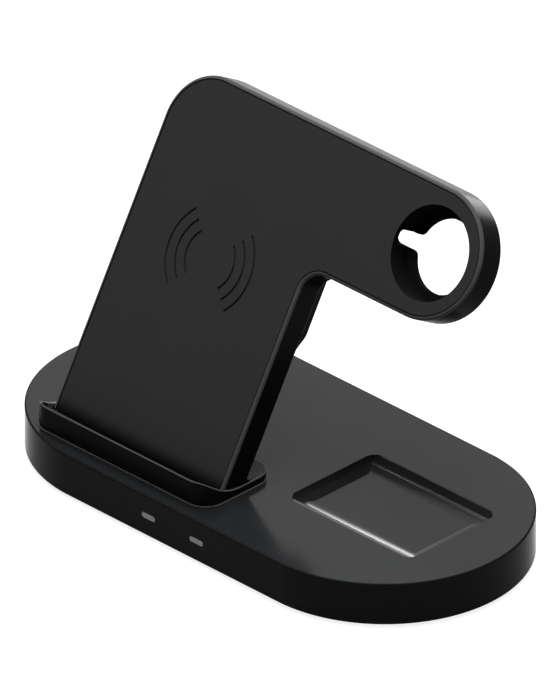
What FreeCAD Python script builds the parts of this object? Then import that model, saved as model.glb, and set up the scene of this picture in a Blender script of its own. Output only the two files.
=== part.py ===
import FreeCAD, Part
import math
import os
from FreeCAD import Placement, Rotation, Vector

# A desk charger for a phone, a watch and an earbud case: a long base with round ends, a
# leaning L-shaped stand with a watch seat in its arm, and a ledge with a lip for the phone.
# Millimetres. Origin at the middle of the footprint, on the surface the feet stand on.
# +X along the base towards the watch arm, +Y to the back, +Z up.

# Base
BASE_LENGTH = 182.0
BASE_DEPTH = 92.0
BASE_HEIGHT = 14.2
FOOT_PROUD = 0.8
BASE_WALL = 2.2
BASE_SKIN = 2.6
BASE_EDGE = 0.5
PLATE_THICKNESS = 2.0
PLATE_GAP = 0.15
BASE_TOP = FOOT_PROUD + BASE_HEIGHT
SKIN_UNDER = BASE_TOP - BASE_SKIN
PLATE_TOP = FOOT_PROUD + PLATE_THICKNESS
INNER_FRONT = BASE_WALL - BASE_DEPTH / 2
INNER_REAR = -INNER_FRONT

# Feet and base screws
FOOT_RADIUS = 6.0
FOOT_SUNK = 0.6
FOOT_SPOTS = {
    "front_left": (-58, -28),
    "front_right": (58, -28),
    "rear_left": (-58, 28),
    "rear_right": (58, 28),
}
BOSS_RADIUS = 3.0
BOSS_SPOTS = [(-80, 0), (80, 0), (-30, 37), (30, 37), (-30, -38), (30, -38)]
SCREW_RADIUS = 1.2
SCREW_HEAD_RADIUS = 2.3
SCREW_HEAD_HEIGHT = 1.3
SCREW_LENGTH = 8.0
FIT = 0.05

# Earbud tray
TRAY_LEFT = 19.6
TRAY_RIGHT = 72.4
TRAY_FRONT = -16.6
TRAY_REAR = 21.4
TRAY_DEPTH = 2.5
TRAY_CORNER = 4.0
LONG_SIDE_COVE = 12.0
SHORT_SIDE_COVE = 6.0
TRAY_MARGIN = 1.6
TRAY_PAD = 2.4
TRAY_X = (TRAY_LEFT + TRAY_RIGHT) / 2
TRAY_Y = (TRAY_FRONT + TRAY_REAR) / 2
PAD_UNDER = BASE_TOP - TRAY_DEPTH - TRAY_PAD

# Indicator windows and power inlet
WINDOW_LENGTH = 5.8
WINDOW_HEIGHT = 2.0
WINDOW_X = 10.3
WINDOW_Z = 7.7
PIPE_DEPTH = 3.5
INLET_WIDTH = 9.6
INLET_HEIGHT = 3.9
SOCKET_WIDTH = 8.94
SOCKET_HEIGHT = 3.26
SOCKET_DEPTH = 7.3
SOCKET_WALL = 0.3
SOCKET_INSET = 0.4
TONGUE_WIDTH = 6.7
TONGUE_THICKNESS = 0.7
TONGUE_LENGTH = 6.0
TONGUE_ROOT = 1.6

# Board
BOARD_HALF = 17.0
BOARD_REACH = 42.3
BOARD_THICKNESS = 1.6
BOARD_TOP = 6.6
BOARD_SCREW_SPOTS = [(-14, -34), (14, -34), (-14, 34), (14, 34)]
STANDOFF_RADIUS = 2.6
CHIP = (-3.5, 3.5, 1.5, 8.5)
CHIP_HEIGHT = 1.0
CHOKE_X = (-7.0, 7.0)
CHOKE_Y = 22.0
CHOKE_HALF = 3.0
CHOKE_ROUND = 1.0
CHOKE_HEIGHT = 2.6
CAPACITOR_COUNT = 7
CAPACITOR_PITCH = 3.0
CAPACITOR_HALF = 0.8
CAPACITOR_Y = (12.0, 15.2)
CAPACITOR_HEIGHT = 1.2
CONNECTOR_LENGTH = 5.0
CONNECTOR_HALF = 3.0
CONNECTOR_HEIGHT = 2.0
LAMP_HALF = 1.6
LAMP_DEPTH = 1.2
LAMP_HEIGHT = 1.4
SCREW_END_GAP = 0.4
SOCKET_Z = BOARD_TOP + SOCKET_HEIGHT / 2

# Ballast
BALLAST_LEFT = -74.0
BALLAST_RIGHT = -22.0
BALLAST_FRONT = -12.0
BALLAST_REAR = 32.0
BALLAST_THICKNESS = 3.0
SHEET_CORNER = 2.0

# Phone ledge
LEDGE_LEFT = -67.2
LEDGE_RIGHT = 8.7
LEDGE_FRONT = -40.4
LEDGE_REAR = -10.2
LEDGE_CORNER = 7.0
LEDGE_THICKNESS = 2.6
LIP_HEIGHT = 8.3
LIP_THICKNESS = 1.3
LIP_LEVEL = 0.6
LIP_SWEEP = 15.0
LIP_EASE_IN = 1.9
LIP_EASE_OUT = 7.5
LEDGE_TOP = BASE_TOP + LEDGE_THICKNESS
LIP_TOP = BASE_TOP + LIP_HEIGHT

# Stand: x as the base, v up the slope from the base's top, w out of the front face
STAND_LEAN = 30.0
STAND_FOOT_Y = -33.2
STAND_LEFT = -65.9
STAND_RIGHT = 7.0
ARM_TOP = 117.6
ARM_UNDER = 76.3
ARM_REACH = 68.6
TOP_CORNER = 18.0
NOTCH_ROUND = 7.2
STAND_THICKNESS = 9.6
STAND_BACK = 2.0
STAND_WALL = 2.4
STAND_BEVEL = 1.0
STAND_LOW = -14.0
CAVITY_LOW = 8.0
RIM = 1.25
SEAM = 0.15
PANEL_THICKNESS = 1.6
PANEL_SET = 0.1
POCKET = PANEL_SET + PANEL_THICKNESS
ARM_END = (ARM_TOP - ARM_UNDER) / 2
ARM_END_X = ARM_REACH - ARM_END
ARM_V = (ARM_TOP + ARM_UNDER) / 2
STAND_X = (STAND_LEFT + STAND_RIGHT) / 2

# Watch seat
SEAT_X = 48.75
SEAT_V = ARM_V
SEAT_RADIUS = 14.8
SEAT_WALL = 1.6
SEAT_THROUGH = 11.7
LEAD_SLOT = 5.0
LEAD_SLOT_REACH = 21.1
LEAD_SLOT_ROUND = 2.2

# Engraved arcs
ARC_V = 65.3
ARC_RADII = (9.7, 13.45, 17.2)
ARC_HALF_ANGLE = 46.0
ARC_WIDTH = 0.75
ARC_DEPTH = 0.6

# Cable cover on the back of the stand
COVER_MARGIN = 2.5
COVER_LOW = 41.5
COVER_HIGH = 113.0
COVER_DEPTH = 6.0
COVER_LOW_SLOPE = 11.5
COVER_SLOPE = 0.4
COVER_CORNER = 4.0
COVER_WALL = 1.6
COVER_SCREW_V = (66.0, 104.0)
COVER_NOTCH = 5.0

# Coils in the stand, as layers behind the front panel
COIL_WIDTH = 46.0
COIL_HEIGHT = 36.0
COIL_CORNER = 16.0
COIL_BAND = 11.0
COIL_THICKNESS = 0.9
COIL_V = {"upper": 73.0, "lower": 53.0}
FERRITE_HALF = 25.0
FERRITE_LOW = 33.0
FERRITE_HIGH = 93.0
FERRITE_THICKNESS = 1.0
CARRIER_HALF = 31.0
CARRIER_LOW = 28.0
CARRIER_HIGH = 98.0
CARRIER_THICKNESS = 1.4
CARRIER_CORNER = 4.0
CARRIER_SCREW_X = 28.0
CARRIER_SCREW_V = (31.0, 95.0)
CARRIER_SCREW_RADIUS = 1.0
CARRIER_HEAD_RADIUS = 1.9
CARRIER_HEAD = 1.2
CARRIER_SCREW_GAP = 0.2
COIL_GAP = 0.05
UPPER_COIL_FRONT = -POCKET - COIL_GAP
LOWER_COIL_FRONT = UPPER_COIL_FRONT - COIL_THICKNESS
FERRITE_FRONT = LOWER_COIL_FRONT - COIL_THICKNESS
CARRIER_FRONT = FERRITE_FRONT - FERRITE_THICKNESS
CARRIER_BACK = CARRIER_FRONT - CARRIER_THICKNESS
CAVITY_BACK = STAND_BACK - STAND_THICKNESS

# Earbud coil, glued under the tray
EARBUD_COIL_RADIUS = 15.0
EARBUD_COIL_BORE = 7.0
EARBUD_COIL_THICKNESS = 1.0
EARBUD_FERRITE = 33.0
EARBUD_FERRITE_THICKNESS = 0.8

# Tenon under the stand, and the plate that clamps it
TENON_LEFT = -52.0
TENON_RIGHT = -7.0
TENON_FRONT = -30.9
TENON_REAR = -22.5
ANCHOR_MARGIN = 4.0
ANCHOR_THICKNESS = 1.5
ANCHOR_SCREW_X = (-46.0, -13.0)
ANCHOR_HEAD = 1.6
ANCHOR_SCREW_LENGTH = 6.0
TENON_Y = (TENON_FRONT + TENON_REAR) / 2
ANCHOR_UNDER = SKIN_UNDER - ANCHOR_THICKNESS

# Harness from the coils to the board
HARNESS_RADIUS = 0.7
HARNESS_HOLE = 1.7
HARNESS_Y = -25.4
HARNESS_BEND_Z = 24.0
HARNESS_START = (26.0, -5.2)
HARNESS_END_X = -15.0
HARNESS_Z = 7.7
HARNESS_BENDS = (6.0, 3.0)

STAND_TURN = Rotation(Vector(1, 0, 0), 90 - STAND_LEAN)
STAND_FRAME = Placement(Vector(0, STAND_FOOT_Y, BASE_TOP), STAND_TURN)


# Small tools

def on_stand(shape):
    """The shape drawn in the stand's own x, v, w, put in its leaning place."""
    placed = shape.copy()
    placed.Placement = STAND_FRAME.multiply(placed.Placement)
    return placed


def stand_point(x, v, w):
    """A point of the stand's own frame, in the part's frame."""
    return STAND_FRAME.multVec(Vector(x, v, w))


def block(x0, x1, y0, y1, z0, z1):
    """A box between two opposite corners."""
    return Part.makeBox(x1 - x0, y1 - y0, z1 - z0, Vector(x0, y0, z0))


def post(x, y, z0, z1, radius):
    """An upright cylinder."""
    return Part.makeCylinder(radius, z1 - z0, Vector(x, y, z0))


def rounded_rectangle(x0, x1, y0, y1, radius, z):
    """A closed outline of four straight sides and four quarter arcs, at height z."""
    bow = radius * (1 - math.sqrt(0.5))
    starts = [(x0 + radius, y0), (x1, y0 + radius), (x1 - radius, y1), (x0, y1 - radius)]
    ends = [(x1 - radius, y0), (x1, y1 - radius), (x0 + radius, y1), (x0, y0 + radius)]
    corners = [(x1 - bow, y0 + bow), (x1 - bow, y1 - bow), (x0 + bow, y1 - bow), (x0 + bow, y0 + bow)]
    edges = []
    for side in range(4):
        start = Vector(*starts[side], z)
        end = Vector(*ends[side], z)
        corner = Vector(*corners[side], z)
        after = Vector(*starts[(side + 1) % 4], z)
        if (end - start).Length > 0.01:
            edges.append(Part.makeLine(start, end))
        edges.append(Part.Arc(end, corner, after).toShape())
    return Part.Wire(edges)


def rounded_block(x0, x1, y0, y1, radius, z0, z1):
    """A slab with rounded upright corners."""
    face = Part.Face(rounded_rectangle(x0, x1, y0, y1, radius, z0))
    return face.extrude(Vector(0, 0, z1 - z0))


def stadium(inset, z0, z1):
    """The base's plan, drawn in by an inset, as a slab."""
    half = BASE_LENGTH / 2 - inset
    depth = BASE_DEPTH / 2 - inset
    return rounded_block(-half, half, -depth, depth, depth, z0, z1)


def pill_along_y(x, z, width, height, y0, y1):
    """A bar with round ends in section, running front to back."""
    bar = rounded_block(-width / 2, width / 2, -height / 2, height / 2, height / 2, 0, y1 - y0)
    bar.Placement = Placement(Vector(x, y0, z), Rotation(Vector(1, 0, 0), -90))
    return bar


def pan_screw(x, y, face, head_radius, head, shank_radius, length, up):
    """A screw whose head stands on a face; up is +1 when the shank points up."""
    if up > 0:
        cap = post(x, y, face - head, face, head_radius)
        shank = post(x, y, face, face + length, shank_radius)
    else:
        cap = post(x, y, face, face + head, head_radius)
        shank = post(x, y, face - length, face, shank_radius)
    return cap.fuse(shank)


# Base

def cove_space(radius, place, turn):
    """The space over one side of the tray, which curves down from the mouth to meet the floor level."""
    angle = math.acos(1 - TRAY_DEPTH / radius)
    width = radius * math.sin(angle)
    mouth = Vector(0, 0, 0)
    middle = Vector(width - radius * math.sin(angle / 2), 0, radius * (1 - math.cos(angle / 2)) - TRAY_DEPTH)
    foot = Vector(width, 0, -TRAY_DEPTH)
    reach = BASE_DEPTH
    corners = [foot, Vector(reach, 0, -TRAY_DEPTH), Vector(reach, 0, 1), Vector(0, 0, 1), mouth]
    edges = [Part.Arc(mouth, middle, foot).toShape()]
    edges += [Part.makeLine(corners[index], corners[index + 1]) for index in range(len(corners) - 1)]
    space = Part.Face(Part.Wire(edges)).extrude(Vector(0, reach, 0))
    space.translate(Vector(0, -reach / 2, 0))
    space.Placement = Placement(place, Rotation(Vector(0, 0, 1), turn)).multiply(space.Placement)
    return space


def tray_cutter():
    """The earbud tray: a shallow dish whose four sides curve down to a level floor."""
    plan = (TRAY_LEFT - FIT, TRAY_RIGHT + FIT, TRAY_FRONT - FIT, TRAY_REAR + FIT)
    dish = rounded_block(*plan, TRAY_CORNER, BASE_TOP - TRAY_DEPTH - 1, BASE_TOP + 0.5)
    sides = [(LONG_SIDE_COVE, TRAY_X, TRAY_FRONT, 90), (LONG_SIDE_COVE, TRAY_X, TRAY_REAR, -90),
             (SHORT_SIDE_COVE, TRAY_LEFT, TRAY_Y, 0), (SHORT_SIDE_COVE, TRAY_RIGHT, TRAY_Y, 180)]
    for radius, x, y, turn in sides:
        dish = dish.common(cove_space(radius, Vector(x, y, BASE_TOP), turn))
    return dish


def base_screw_hole(x, y):
    return post(x, y, PLATE_TOP - 1, PLATE_TOP + SCREW_LENGTH, SCREW_RADIUS + FIT)


def make_base_shell():
    """The upper moulding: outer wall, top skin, tray, windows, inlet and screw bosses."""
    shell = stadium(0, FOOT_PROUD, BASE_TOP)
    rims = [edge for edge in shell.Edges if edge.BoundBox.ZLength < 0.01]
    shell = shell.makeChamfer(BASE_EDGE, rims)
    cavity = stadium(BASE_WALL, FOOT_PROUD - 1, SKIN_UNDER)
    pad = rounded_block(TRAY_LEFT - TRAY_MARGIN, TRAY_RIGHT + TRAY_MARGIN, TRAY_FRONT - TRAY_MARGIN,
                        TRAY_REAR + TRAY_MARGIN, TRAY_CORNER, PAD_UNDER, SKIN_UNDER)
    bosses = [post(x, y, PLATE_TOP, SKIN_UNDER, BOSS_RADIUS) for x, y in BOSS_SPOTS]
    shell = shell.cut(cavity.cut([pad] + bosses))
    cuts = [tray_cutter(), tenon(FIT)]
    cuts += [base_screw_hole(x, y) for x, y in BOSS_SPOTS]
    for side in (-1, 1):
        cuts.append(pill_along_y(side * WINDOW_X, WINDOW_Z, WINDOW_LENGTH + 2 * FIT,
                                 WINDOW_HEIGHT + 2 * FIT, -BASE_DEPTH / 2 - 1, INNER_FRONT + 1))
    cuts.append(pill_along_y(0, SOCKET_Z, INLET_WIDTH, INLET_HEIGHT, INNER_REAR - 1, BASE_DEPTH / 2 + 1))
    return shell.cut(cuts)


def make_base_plate():
    """The bottom plate: foot recesses, countersunk screw holes and board standoffs."""
    plate = stadium(BASE_WALL + PLATE_GAP, FOOT_PROUD, PLATE_TOP)
    plate = plate.fuse([post(x, y, PLATE_TOP, BOARD_TOP - BOARD_THICKNESS, STANDOFF_RADIUS)
                        for x, y in BOARD_SCREW_SPOTS])
    cuts = []
    for x, y in FOOT_SPOTS.values():
        cuts.append(post(x, y, FOOT_PROUD, FOOT_PROUD + FOOT_SUNK, FOOT_RADIUS + FIT))
    for x, y in BOSS_SPOTS:
        cuts.append(post(x, y, FOOT_PROUD, PLATE_TOP, SCREW_RADIUS + FIT))
        cuts.append(post(x, y, FOOT_PROUD, FOOT_PROUD + SCREW_HEAD_HEIGHT, SCREW_HEAD_RADIUS + FIT))
    cuts += [post(x, y, PLATE_TOP, BOARD_TOP, CARRIER_SCREW_RADIUS + FIT) for x, y in BOARD_SCREW_SPOTS]
    return plate.cut(cuts)


def make_foot(x, y):
    """A rubber foot with a bevelled tread, set in its recess."""
    foot = post(x, y, 0, FOOT_PROUD + FOOT_SUNK, FOOT_RADIUS)
    tread = [edge for edge in foot.Edges if edge.BoundBox.ZMax < 0.01]
    return foot.makeChamfer(FOOT_PROUD / 2, tread)


def make_base_screws():
    face = FOOT_PROUD + SCREW_HEAD_HEIGHT
    return Part.Compound([pan_screw(x, y, face, SCREW_HEAD_RADIUS, SCREW_HEAD_HEIGHT, SCREW_RADIUS,
                                    SCREW_LENGTH, 1) for x, y in BOSS_SPOTS])


def make_ballast_plate():
    return rounded_block(BALLAST_LEFT, BALLAST_RIGHT, BALLAST_FRONT, BALLAST_REAR, SHEET_CORNER,
                         PLATE_TOP, PLATE_TOP + BALLAST_THICKNESS)


# Board, lamps and inlet

def make_main_board():
    board = rounded_block(-BOARD_HALF, BOARD_HALF, -BOARD_REACH, BOARD_REACH, SHEET_CORNER,
                          BOARD_TOP - BOARD_THICKNESS, BOARD_TOP)
    return board.cut([post(x, y, 0, BASE_TOP, CARRIER_SCREW_RADIUS + FIT) for x, y in BOARD_SCREW_SPOTS])


def make_board_screws():
    length = BOARD_TOP - PLATE_TOP - SCREW_END_GAP
    return Part.Compound([pan_screw(x, y, BOARD_TOP, CARRIER_HEAD_RADIUS, CARRIER_HEAD,
                                    CARRIER_SCREW_RADIUS, length, -1) for x, y in BOARD_SCREW_SPOTS])


def make_board_components():
    """The driver chip, two power coils, a row of capacitors and the harness connector."""
    chip = block(*CHIP, BOARD_TOP, BOARD_TOP + CHIP_HEIGHT)
    connector = block(HARNESS_END_X, HARNESS_END_X + CONNECTOR_LENGTH, HARNESS_Y - CONNECTOR_HALF,
                      HARNESS_Y + CONNECTOR_HALF, BOARD_TOP, BOARD_TOP + CONNECTOR_HEIGHT)
    pieces = [chip, connector]
    for x in CHOKE_X:
        pieces.append(rounded_block(x - CHOKE_HALF, x + CHOKE_HALF, CHOKE_Y - CHOKE_HALF,
                                    CHOKE_Y + CHOKE_HALF, CHOKE_ROUND, BOARD_TOP, BOARD_TOP + CHOKE_HEIGHT))
    for index in range(CAPACITOR_COUNT):
        x = (index - (CAPACITOR_COUNT - 1) / 2) * CAPACITOR_PITCH
        pieces.append(block(x - CAPACITOR_HALF, x + CAPACITOR_HALF, *CAPACITOR_Y,
                            BOARD_TOP, BOARD_TOP + CAPACITOR_HEIGHT))
    return Part.Compound(pieces)


def make_indicator_leds():
    return Part.Compound([block(x - LAMP_HALF, x + LAMP_HALF, -BOARD_REACH, LAMP_DEPTH - BOARD_REACH,
                                BOARD_TOP, BOARD_TOP + LAMP_HEIGHT) for x in (-WINDOW_X, WINDOW_X)])


def make_light_pipe(side):
    front = -BASE_DEPTH / 2
    return pill_along_y(side * WINDOW_X, WINDOW_Z, WINDOW_LENGTH, WINDOW_HEIGHT, front, front + PIPE_DEPTH)


def make_socket_shell():
    """The pressed metal shell of the inlet, open to the back."""
    rear = BASE_DEPTH / 2 - SOCKET_INSET
    front = rear - SOCKET_DEPTH
    outer = pill_along_y(0, SOCKET_Z, SOCKET_WIDTH, SOCKET_HEIGHT, front, rear)
    hollow = pill_along_y(0, SOCKET_Z, SOCKET_WIDTH - 2 * SOCKET_WALL, SOCKET_HEIGHT - 2 * SOCKET_WALL,
                          front + SOCKET_WALL, rear + 1)
    return outer.cut(hollow)


def make_socket_tongue():
    """The insulating tongue in the middle of the inlet, on its back block."""
    back = BASE_DEPTH / 2 - SOCKET_INSET - SOCKET_DEPTH + SOCKET_WALL
    root = pill_along_y(0, SOCKET_Z, SOCKET_WIDTH - 2 * SOCKET_WALL, SOCKET_HEIGHT - 2 * SOCKET_WALL,
                        back, back + TONGUE_ROOT)
    tongue = block(-TONGUE_WIDTH / 2, TONGUE_WIDTH / 2, back, back + TONGUE_LENGTH,
                   SOCKET_Z - TONGUE_THICKNESS / 2, SOCKET_Z + TONGUE_THICKNESS / 2)
    return root.fuse(tongue).removeSplitter()


# Earbud coil

def make_earbud_coil():
    top = PAD_UNDER
    ring = post(TRAY_X, TRAY_Y, top - EARBUD_COIL_THICKNESS, top, EARBUD_COIL_RADIUS)
    return ring.cut(post(TRAY_X, TRAY_Y, top - EARBUD_COIL_THICKNESS, top, EARBUD_COIL_BORE))


def make_earbud_ferrite():
    top = PAD_UNDER - EARBUD_COIL_THICKNESS
    half = EARBUD_FERRITE / 2
    return rounded_block(TRAY_X - half, TRAY_X + half, TRAY_Y - half, TRAY_Y + half, SHEET_CORNER,
                         top - EARBUD_FERRITE_THICKNESS, top)


# Phone ledge

def above_lip():
    """The space over the ledge: level at the front, then sweeping down to the plate round both corners."""
    above = LIP_TOP + 1
    behind = LEDGE_REAR + 1
    crest = Vector(LEDGE_LEFT - 1, LEDGE_FRONT + LIP_LEVEL, LIP_TOP)
    foot = Vector(LEDGE_LEFT - 1, LEDGE_FRONT + LIP_SWEEP, LEDGE_TOP)
    sweep = Part.BezierCurve()
    sweep.setPoles([crest, crest + Vector(0, LIP_EASE_IN, 0), foot - Vector(0, LIP_EASE_OUT, 0), foot])
    corners = [foot, Vector(foot.x, behind, LEDGE_TOP), Vector(foot.x, behind, above),
               Vector(foot.x, crest.y, above), crest]
    sides = [Part.makeLine(corners[index], corners[index + 1]) for index in range(len(corners) - 1)]
    outline = Part.Wire([sweep.toShape()] + sides)
    return Part.Face(outline).extrude(Vector(LEDGE_RIGHT - LEDGE_LEFT + 2, 0, 0))


def make_phone_ledge():
    """The ledge plate and its lip, with the opening that the stand's tenon passes."""
    ledge = rounded_block(LEDGE_LEFT, LEDGE_RIGHT, LEDGE_FRONT, LEDGE_REAR, LEDGE_CORNER, BASE_TOP, LIP_TOP)
    inner_corner = LEDGE_CORNER - LIP_THICKNESS
    inner = rounded_block(LEDGE_LEFT + LIP_THICKNESS, LEDGE_RIGHT - LIP_THICKNESS,
                          LEDGE_FRONT + LIP_THICKNESS, LEDGE_REAR + LEDGE_CORNER, inner_corner,
                          LEDGE_TOP, LIP_TOP + 1)
    return ledge.cut(inner).cut(above_lip()).removeSplitter().cut(tenon(FIT))


# Stand

def stand_outline(inset, low):
    """The L-shaped outline of the stand, drawn in by an inset, from low up the slope."""
    left = STAND_LEFT + inset
    right = STAND_RIGHT - inset
    top = ARM_TOP - inset
    under = ARM_UNDER + inset
    corner = TOP_CORNER - inset
    notch = NOTCH_ROUND + inset
    bow = 1 - math.sqrt(0.5)
    low_left = Vector(left, low, 0)
    low_right = Vector(right, low, 0)
    corner_low = Vector(left, top - corner, 0)
    corner_high = Vector(left + corner, top, 0)
    arm_high = Vector(ARM_END_X, top, 0)
    arm_low = Vector(ARM_END_X, under, 0)
    notch_high = Vector(right + notch, under, 0)
    notch_low = Vector(right, under - notch, 0)
    return Part.Wire([
        Part.makeLine(low_left, corner_low),
        Part.Arc(corner_low, Vector(left + corner * bow, top - corner * bow, 0), corner_high).toShape(),
        Part.makeLine(corner_high, arm_high),
        Part.Arc(arm_high, Vector(ARM_REACH - inset, ARM_V, 0), arm_low).toShape(),
        Part.makeLine(arm_low, notch_high),
        Part.Arc(notch_high, Vector(right + notch * bow, under - notch * bow, 0), notch_low).toShape(),
        Part.makeLine(notch_low, low_right),
        Part.makeLine(low_right, low_left)])


def stand_slab(inset, low, front, back):
    """The stand's outline as a slab between two depths."""
    slab = Part.Face(stand_outline(inset, low)).extrude(Vector(0, 0, back - front))
    slab.translate(Vector(0, 0, front))
    return slab


def below_ledge():
    """Everything below the ledge's top, which the stand stands on."""
    reach = BASE_LENGTH
    return block(-reach, reach, -reach, reach, BASE_TOP - reach, LEDGE_TOP)


def keyhole():
    """The watch seat's through hole with the slot that takes the watch lead."""
    depth = STAND_THICKNESS - POCKET + 1
    bottom = -STAND_THICKNESS - 1
    hole = post(SEAT_X, SEAT_V, bottom, bottom + depth, SEAT_THROUGH)
    slot = rounded_block(SEAT_X - LEAD_SLOT_REACH, SEAT_X, SEAT_V - LEAD_SLOT / 2, SEAT_V + LEAD_SLOT / 2,
                         LEAD_SLOT / 2, bottom, bottom + depth)
    keyed = hole.fuse(slot).removeSplitter()
    inside = math.sqrt(SEAT_THROUGH ** 2 - (LEAD_SLOT / 2) ** 2)
    throats = [edge for edge in keyed.Edges
               if edge.BoundBox.XLength < 0.01 and abs(edge.BoundBox.XMin - SEAT_X + inside) < 0.05]
    return keyed.makeFillet(LEAD_SLOT_ROUND, throats)


def tenon(grow):
    """The block under the stand that passes the ledge and the base's top."""
    return block(TENON_LEFT - grow, TENON_RIGHT + grow, TENON_FRONT - grow, TENON_REAR + grow,
                 SKIN_UNDER, LEDGE_TOP)


def carrier_spots():
    return [(STAND_X + side * CARRIER_SCREW_X, v) for side in (-1, 1) for v in CARRIER_SCREW_V]


def make_stand_shell():
    """The leaning housing: bevelled rim, panel pocket, coil cavity, watch seat and tenon."""
    body = stand_slab(0, STAND_LOW, 0, -STAND_THICKNESS)
    rim = [edge for edge in body.Edges
           if edge.BoundBox.ZMin > -0.01 and edge.BoundBox.YMax > STAND_LOW + 0.01]
    body = body.makeChamfer(STAND_BEVEL, rim)
    pocket = stand_slab(RIM, STAND_LOW - 1, 1, -POCKET)
    cavity = stand_slab(STAND_WALL, CAVITY_LOW, -POCKET, CAVITY_BACK)
    seat_wall = post(SEAT_X, SEAT_V, CAVITY_BACK, -POCKET, SEAT_RADIUS + SEAT_WALL)
    slot_wall = rounded_block(SEAT_X - LEAD_SLOT_REACH - SEAT_WALL, SEAT_X,
                              SEAT_V - LEAD_SLOT / 2 - SEAT_WALL, SEAT_V + LEAD_SLOT / 2 + SEAT_WALL,
                              LEAD_SLOT / 2 + SEAT_WALL, CAVITY_BACK, -POCKET)
    bosses = [post(x, v, CAVITY_BACK, CARRIER_BACK, STANDOFF_RADIUS) for x, v in carrier_spots()]
    bosses += [post(STAND_X, v, CAVITY_BACK, CARRIER_BACK, STANDOFF_RADIUS) for v in COVER_SCREW_V]
    seat = post(SEAT_X, SEAT_V, CAVITY_BACK, 1, SEAT_RADIUS)
    hole_radius = CARRIER_SCREW_RADIUS + FIT
    holes = [post(x, v, CAVITY_BACK, CARRIER_BACK, hole_radius) for x, v in carrier_spots()]
    holes += [post(STAND_X, v, -STAND_THICKNESS, CARRIER_BACK, hole_radius) for v in COVER_SCREW_V]
    body = body.cut([pocket, cavity.cut([seat_wall, slot_wall] + bosses)])
    body = body.cut([seat, keyhole()] + holes)
    shell = on_stand(body).cut(below_ledge()).fuse(tenon(0)).removeSplitter()
    cuts = [post(STAND_X, HARNESS_Y, SKIN_UNDER, HARNESS_BEND_Z, HARNESS_HOLE)]
    cuts += [post(x, TENON_Y, SKIN_UNDER, SKIN_UNDER + ANCHOR_SCREW_LENGTH, SCREW_RADIUS + FIT)
             for x in ANCHOR_SCREW_X]
    return shell.cut(cuts)


def engraved_arcs():
    """Six grooves in two facing sets, cut into the front panel's face."""
    face = -PANEL_SET
    grooves = []
    for radius in ARC_RADII:
        for side in (0, 180):
            centre = Vector(STAND_X, ARC_V, face - ARC_DEPTH)
            up = Vector(0, 0, 1)
            ring = Part.makeCylinder(radius + ARC_WIDTH / 2, ARC_DEPTH, centre, up, 2 * ARC_HALF_ANGLE)
            ring = ring.cut(Part.makeCylinder(radius - ARC_WIDTH / 2, ARC_DEPTH, centre, up))
            ring.rotate(centre, up, side - ARC_HALF_ANGLE)
            grooves.append(ring)
    return grooves


def make_stand_front_panel():
    """The flat panel the phone leans on, with the watch hole and the engraved arcs."""
    panel = stand_slab(RIM + SEAM, STAND_LOW, -PANEL_SET, -POCKET)
    hole = post(SEAT_X, SEAT_V, -POCKET, 0, SEAT_RADIUS)
    panel = panel.cut([hole] + engraved_arcs())
    return on_stand(panel).cut(below_ledge())


def cover_form(inset, depth):
    """The cover's tapered form: an outline on the stand's back and a smaller one behind it."""
    left = STAND_LEFT + COVER_MARGIN + inset
    right = STAND_RIGHT - COVER_MARGIN - inset
    low = COVER_LOW + inset
    high = COVER_HIGH - inset
    near = rounded_rectangle(left, right, low, high, COVER_CORNER - inset, -STAND_THICKNESS)
    far = rounded_rectangle(left + COVER_SLOPE, right - COVER_SLOPE, low + COVER_LOW_SLOPE,
                            high - COVER_SLOPE, COVER_CORNER - inset, -STAND_THICKNESS - depth)
    return Part.makeLoft([near, far], True, True)


def make_cable_cover():
    """The hollow pod that hides the watch lead, with a side notch where the lead comes in."""
    cover = cover_form(0, COVER_DEPTH).cut(cover_form(COVER_WALL, COVER_DEPTH - COVER_WALL))
    back = -STAND_THICKNESS
    rear = back - COVER_DEPTH
    cover = cover.fuse([post(STAND_X, v, rear + COVER_WALL / 2, back, BOSS_RADIUS) for v in COVER_SCREW_V])
    notch_right = STAND_RIGHT - COVER_MARGIN
    notch = block(notch_right - COVER_NOTCH, notch_right + 1, SEAT_V - LEAD_SLOT / 2, SEAT_V + LEAD_SLOT / 2,
                  back - LEAD_SLOT, back)
    cuts = [notch]
    for v in COVER_SCREW_V:
        cuts.append(post(STAND_X, v, rear, back, CARRIER_SCREW_RADIUS + FIT))
        cuts.append(post(STAND_X, v, rear, rear + CARRIER_HEAD, CARRIER_HEAD_RADIUS + FIT))
    return on_stand(cover.removeSplitter().cut(cuts))


def make_cover_screws():
    face = -STAND_THICKNESS - COVER_DEPTH + CARRIER_HEAD
    length = CARRIER_BACK - face - CARRIER_SCREW_GAP
    screws = [pan_screw(STAND_X, v, face, CARRIER_HEAD_RADIUS, CARRIER_HEAD,
                        CARRIER_SCREW_RADIUS, length, 1) for v in COVER_SCREW_V]
    return on_stand(Part.Compound(screws))


# Coils in the stand

def make_phone_coil(v, front):
    """A flat oval winding, as one band."""
    half_width = COIL_WIDTH / 2
    half_height = COIL_HEIGHT / 2
    back = front - COIL_THICKNESS
    outer = rounded_block(STAND_X - half_width, STAND_X + half_width, v - half_height, v + half_height,
                          COIL_CORNER, back, front)
    inner = rounded_block(STAND_X - half_width + COIL_BAND, STAND_X + half_width - COIL_BAND,
                          v - half_height + COIL_BAND, v + half_height - COIL_BAND,
                          COIL_CORNER - COIL_BAND, back, front)
    return on_stand(outer.cut(inner))


def make_phone_ferrite():
    return on_stand(rounded_block(STAND_X - FERRITE_HALF, STAND_X + FERRITE_HALF, FERRITE_LOW, FERRITE_HIGH,
                                  SHEET_CORNER, CARRIER_FRONT, FERRITE_FRONT))


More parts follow.
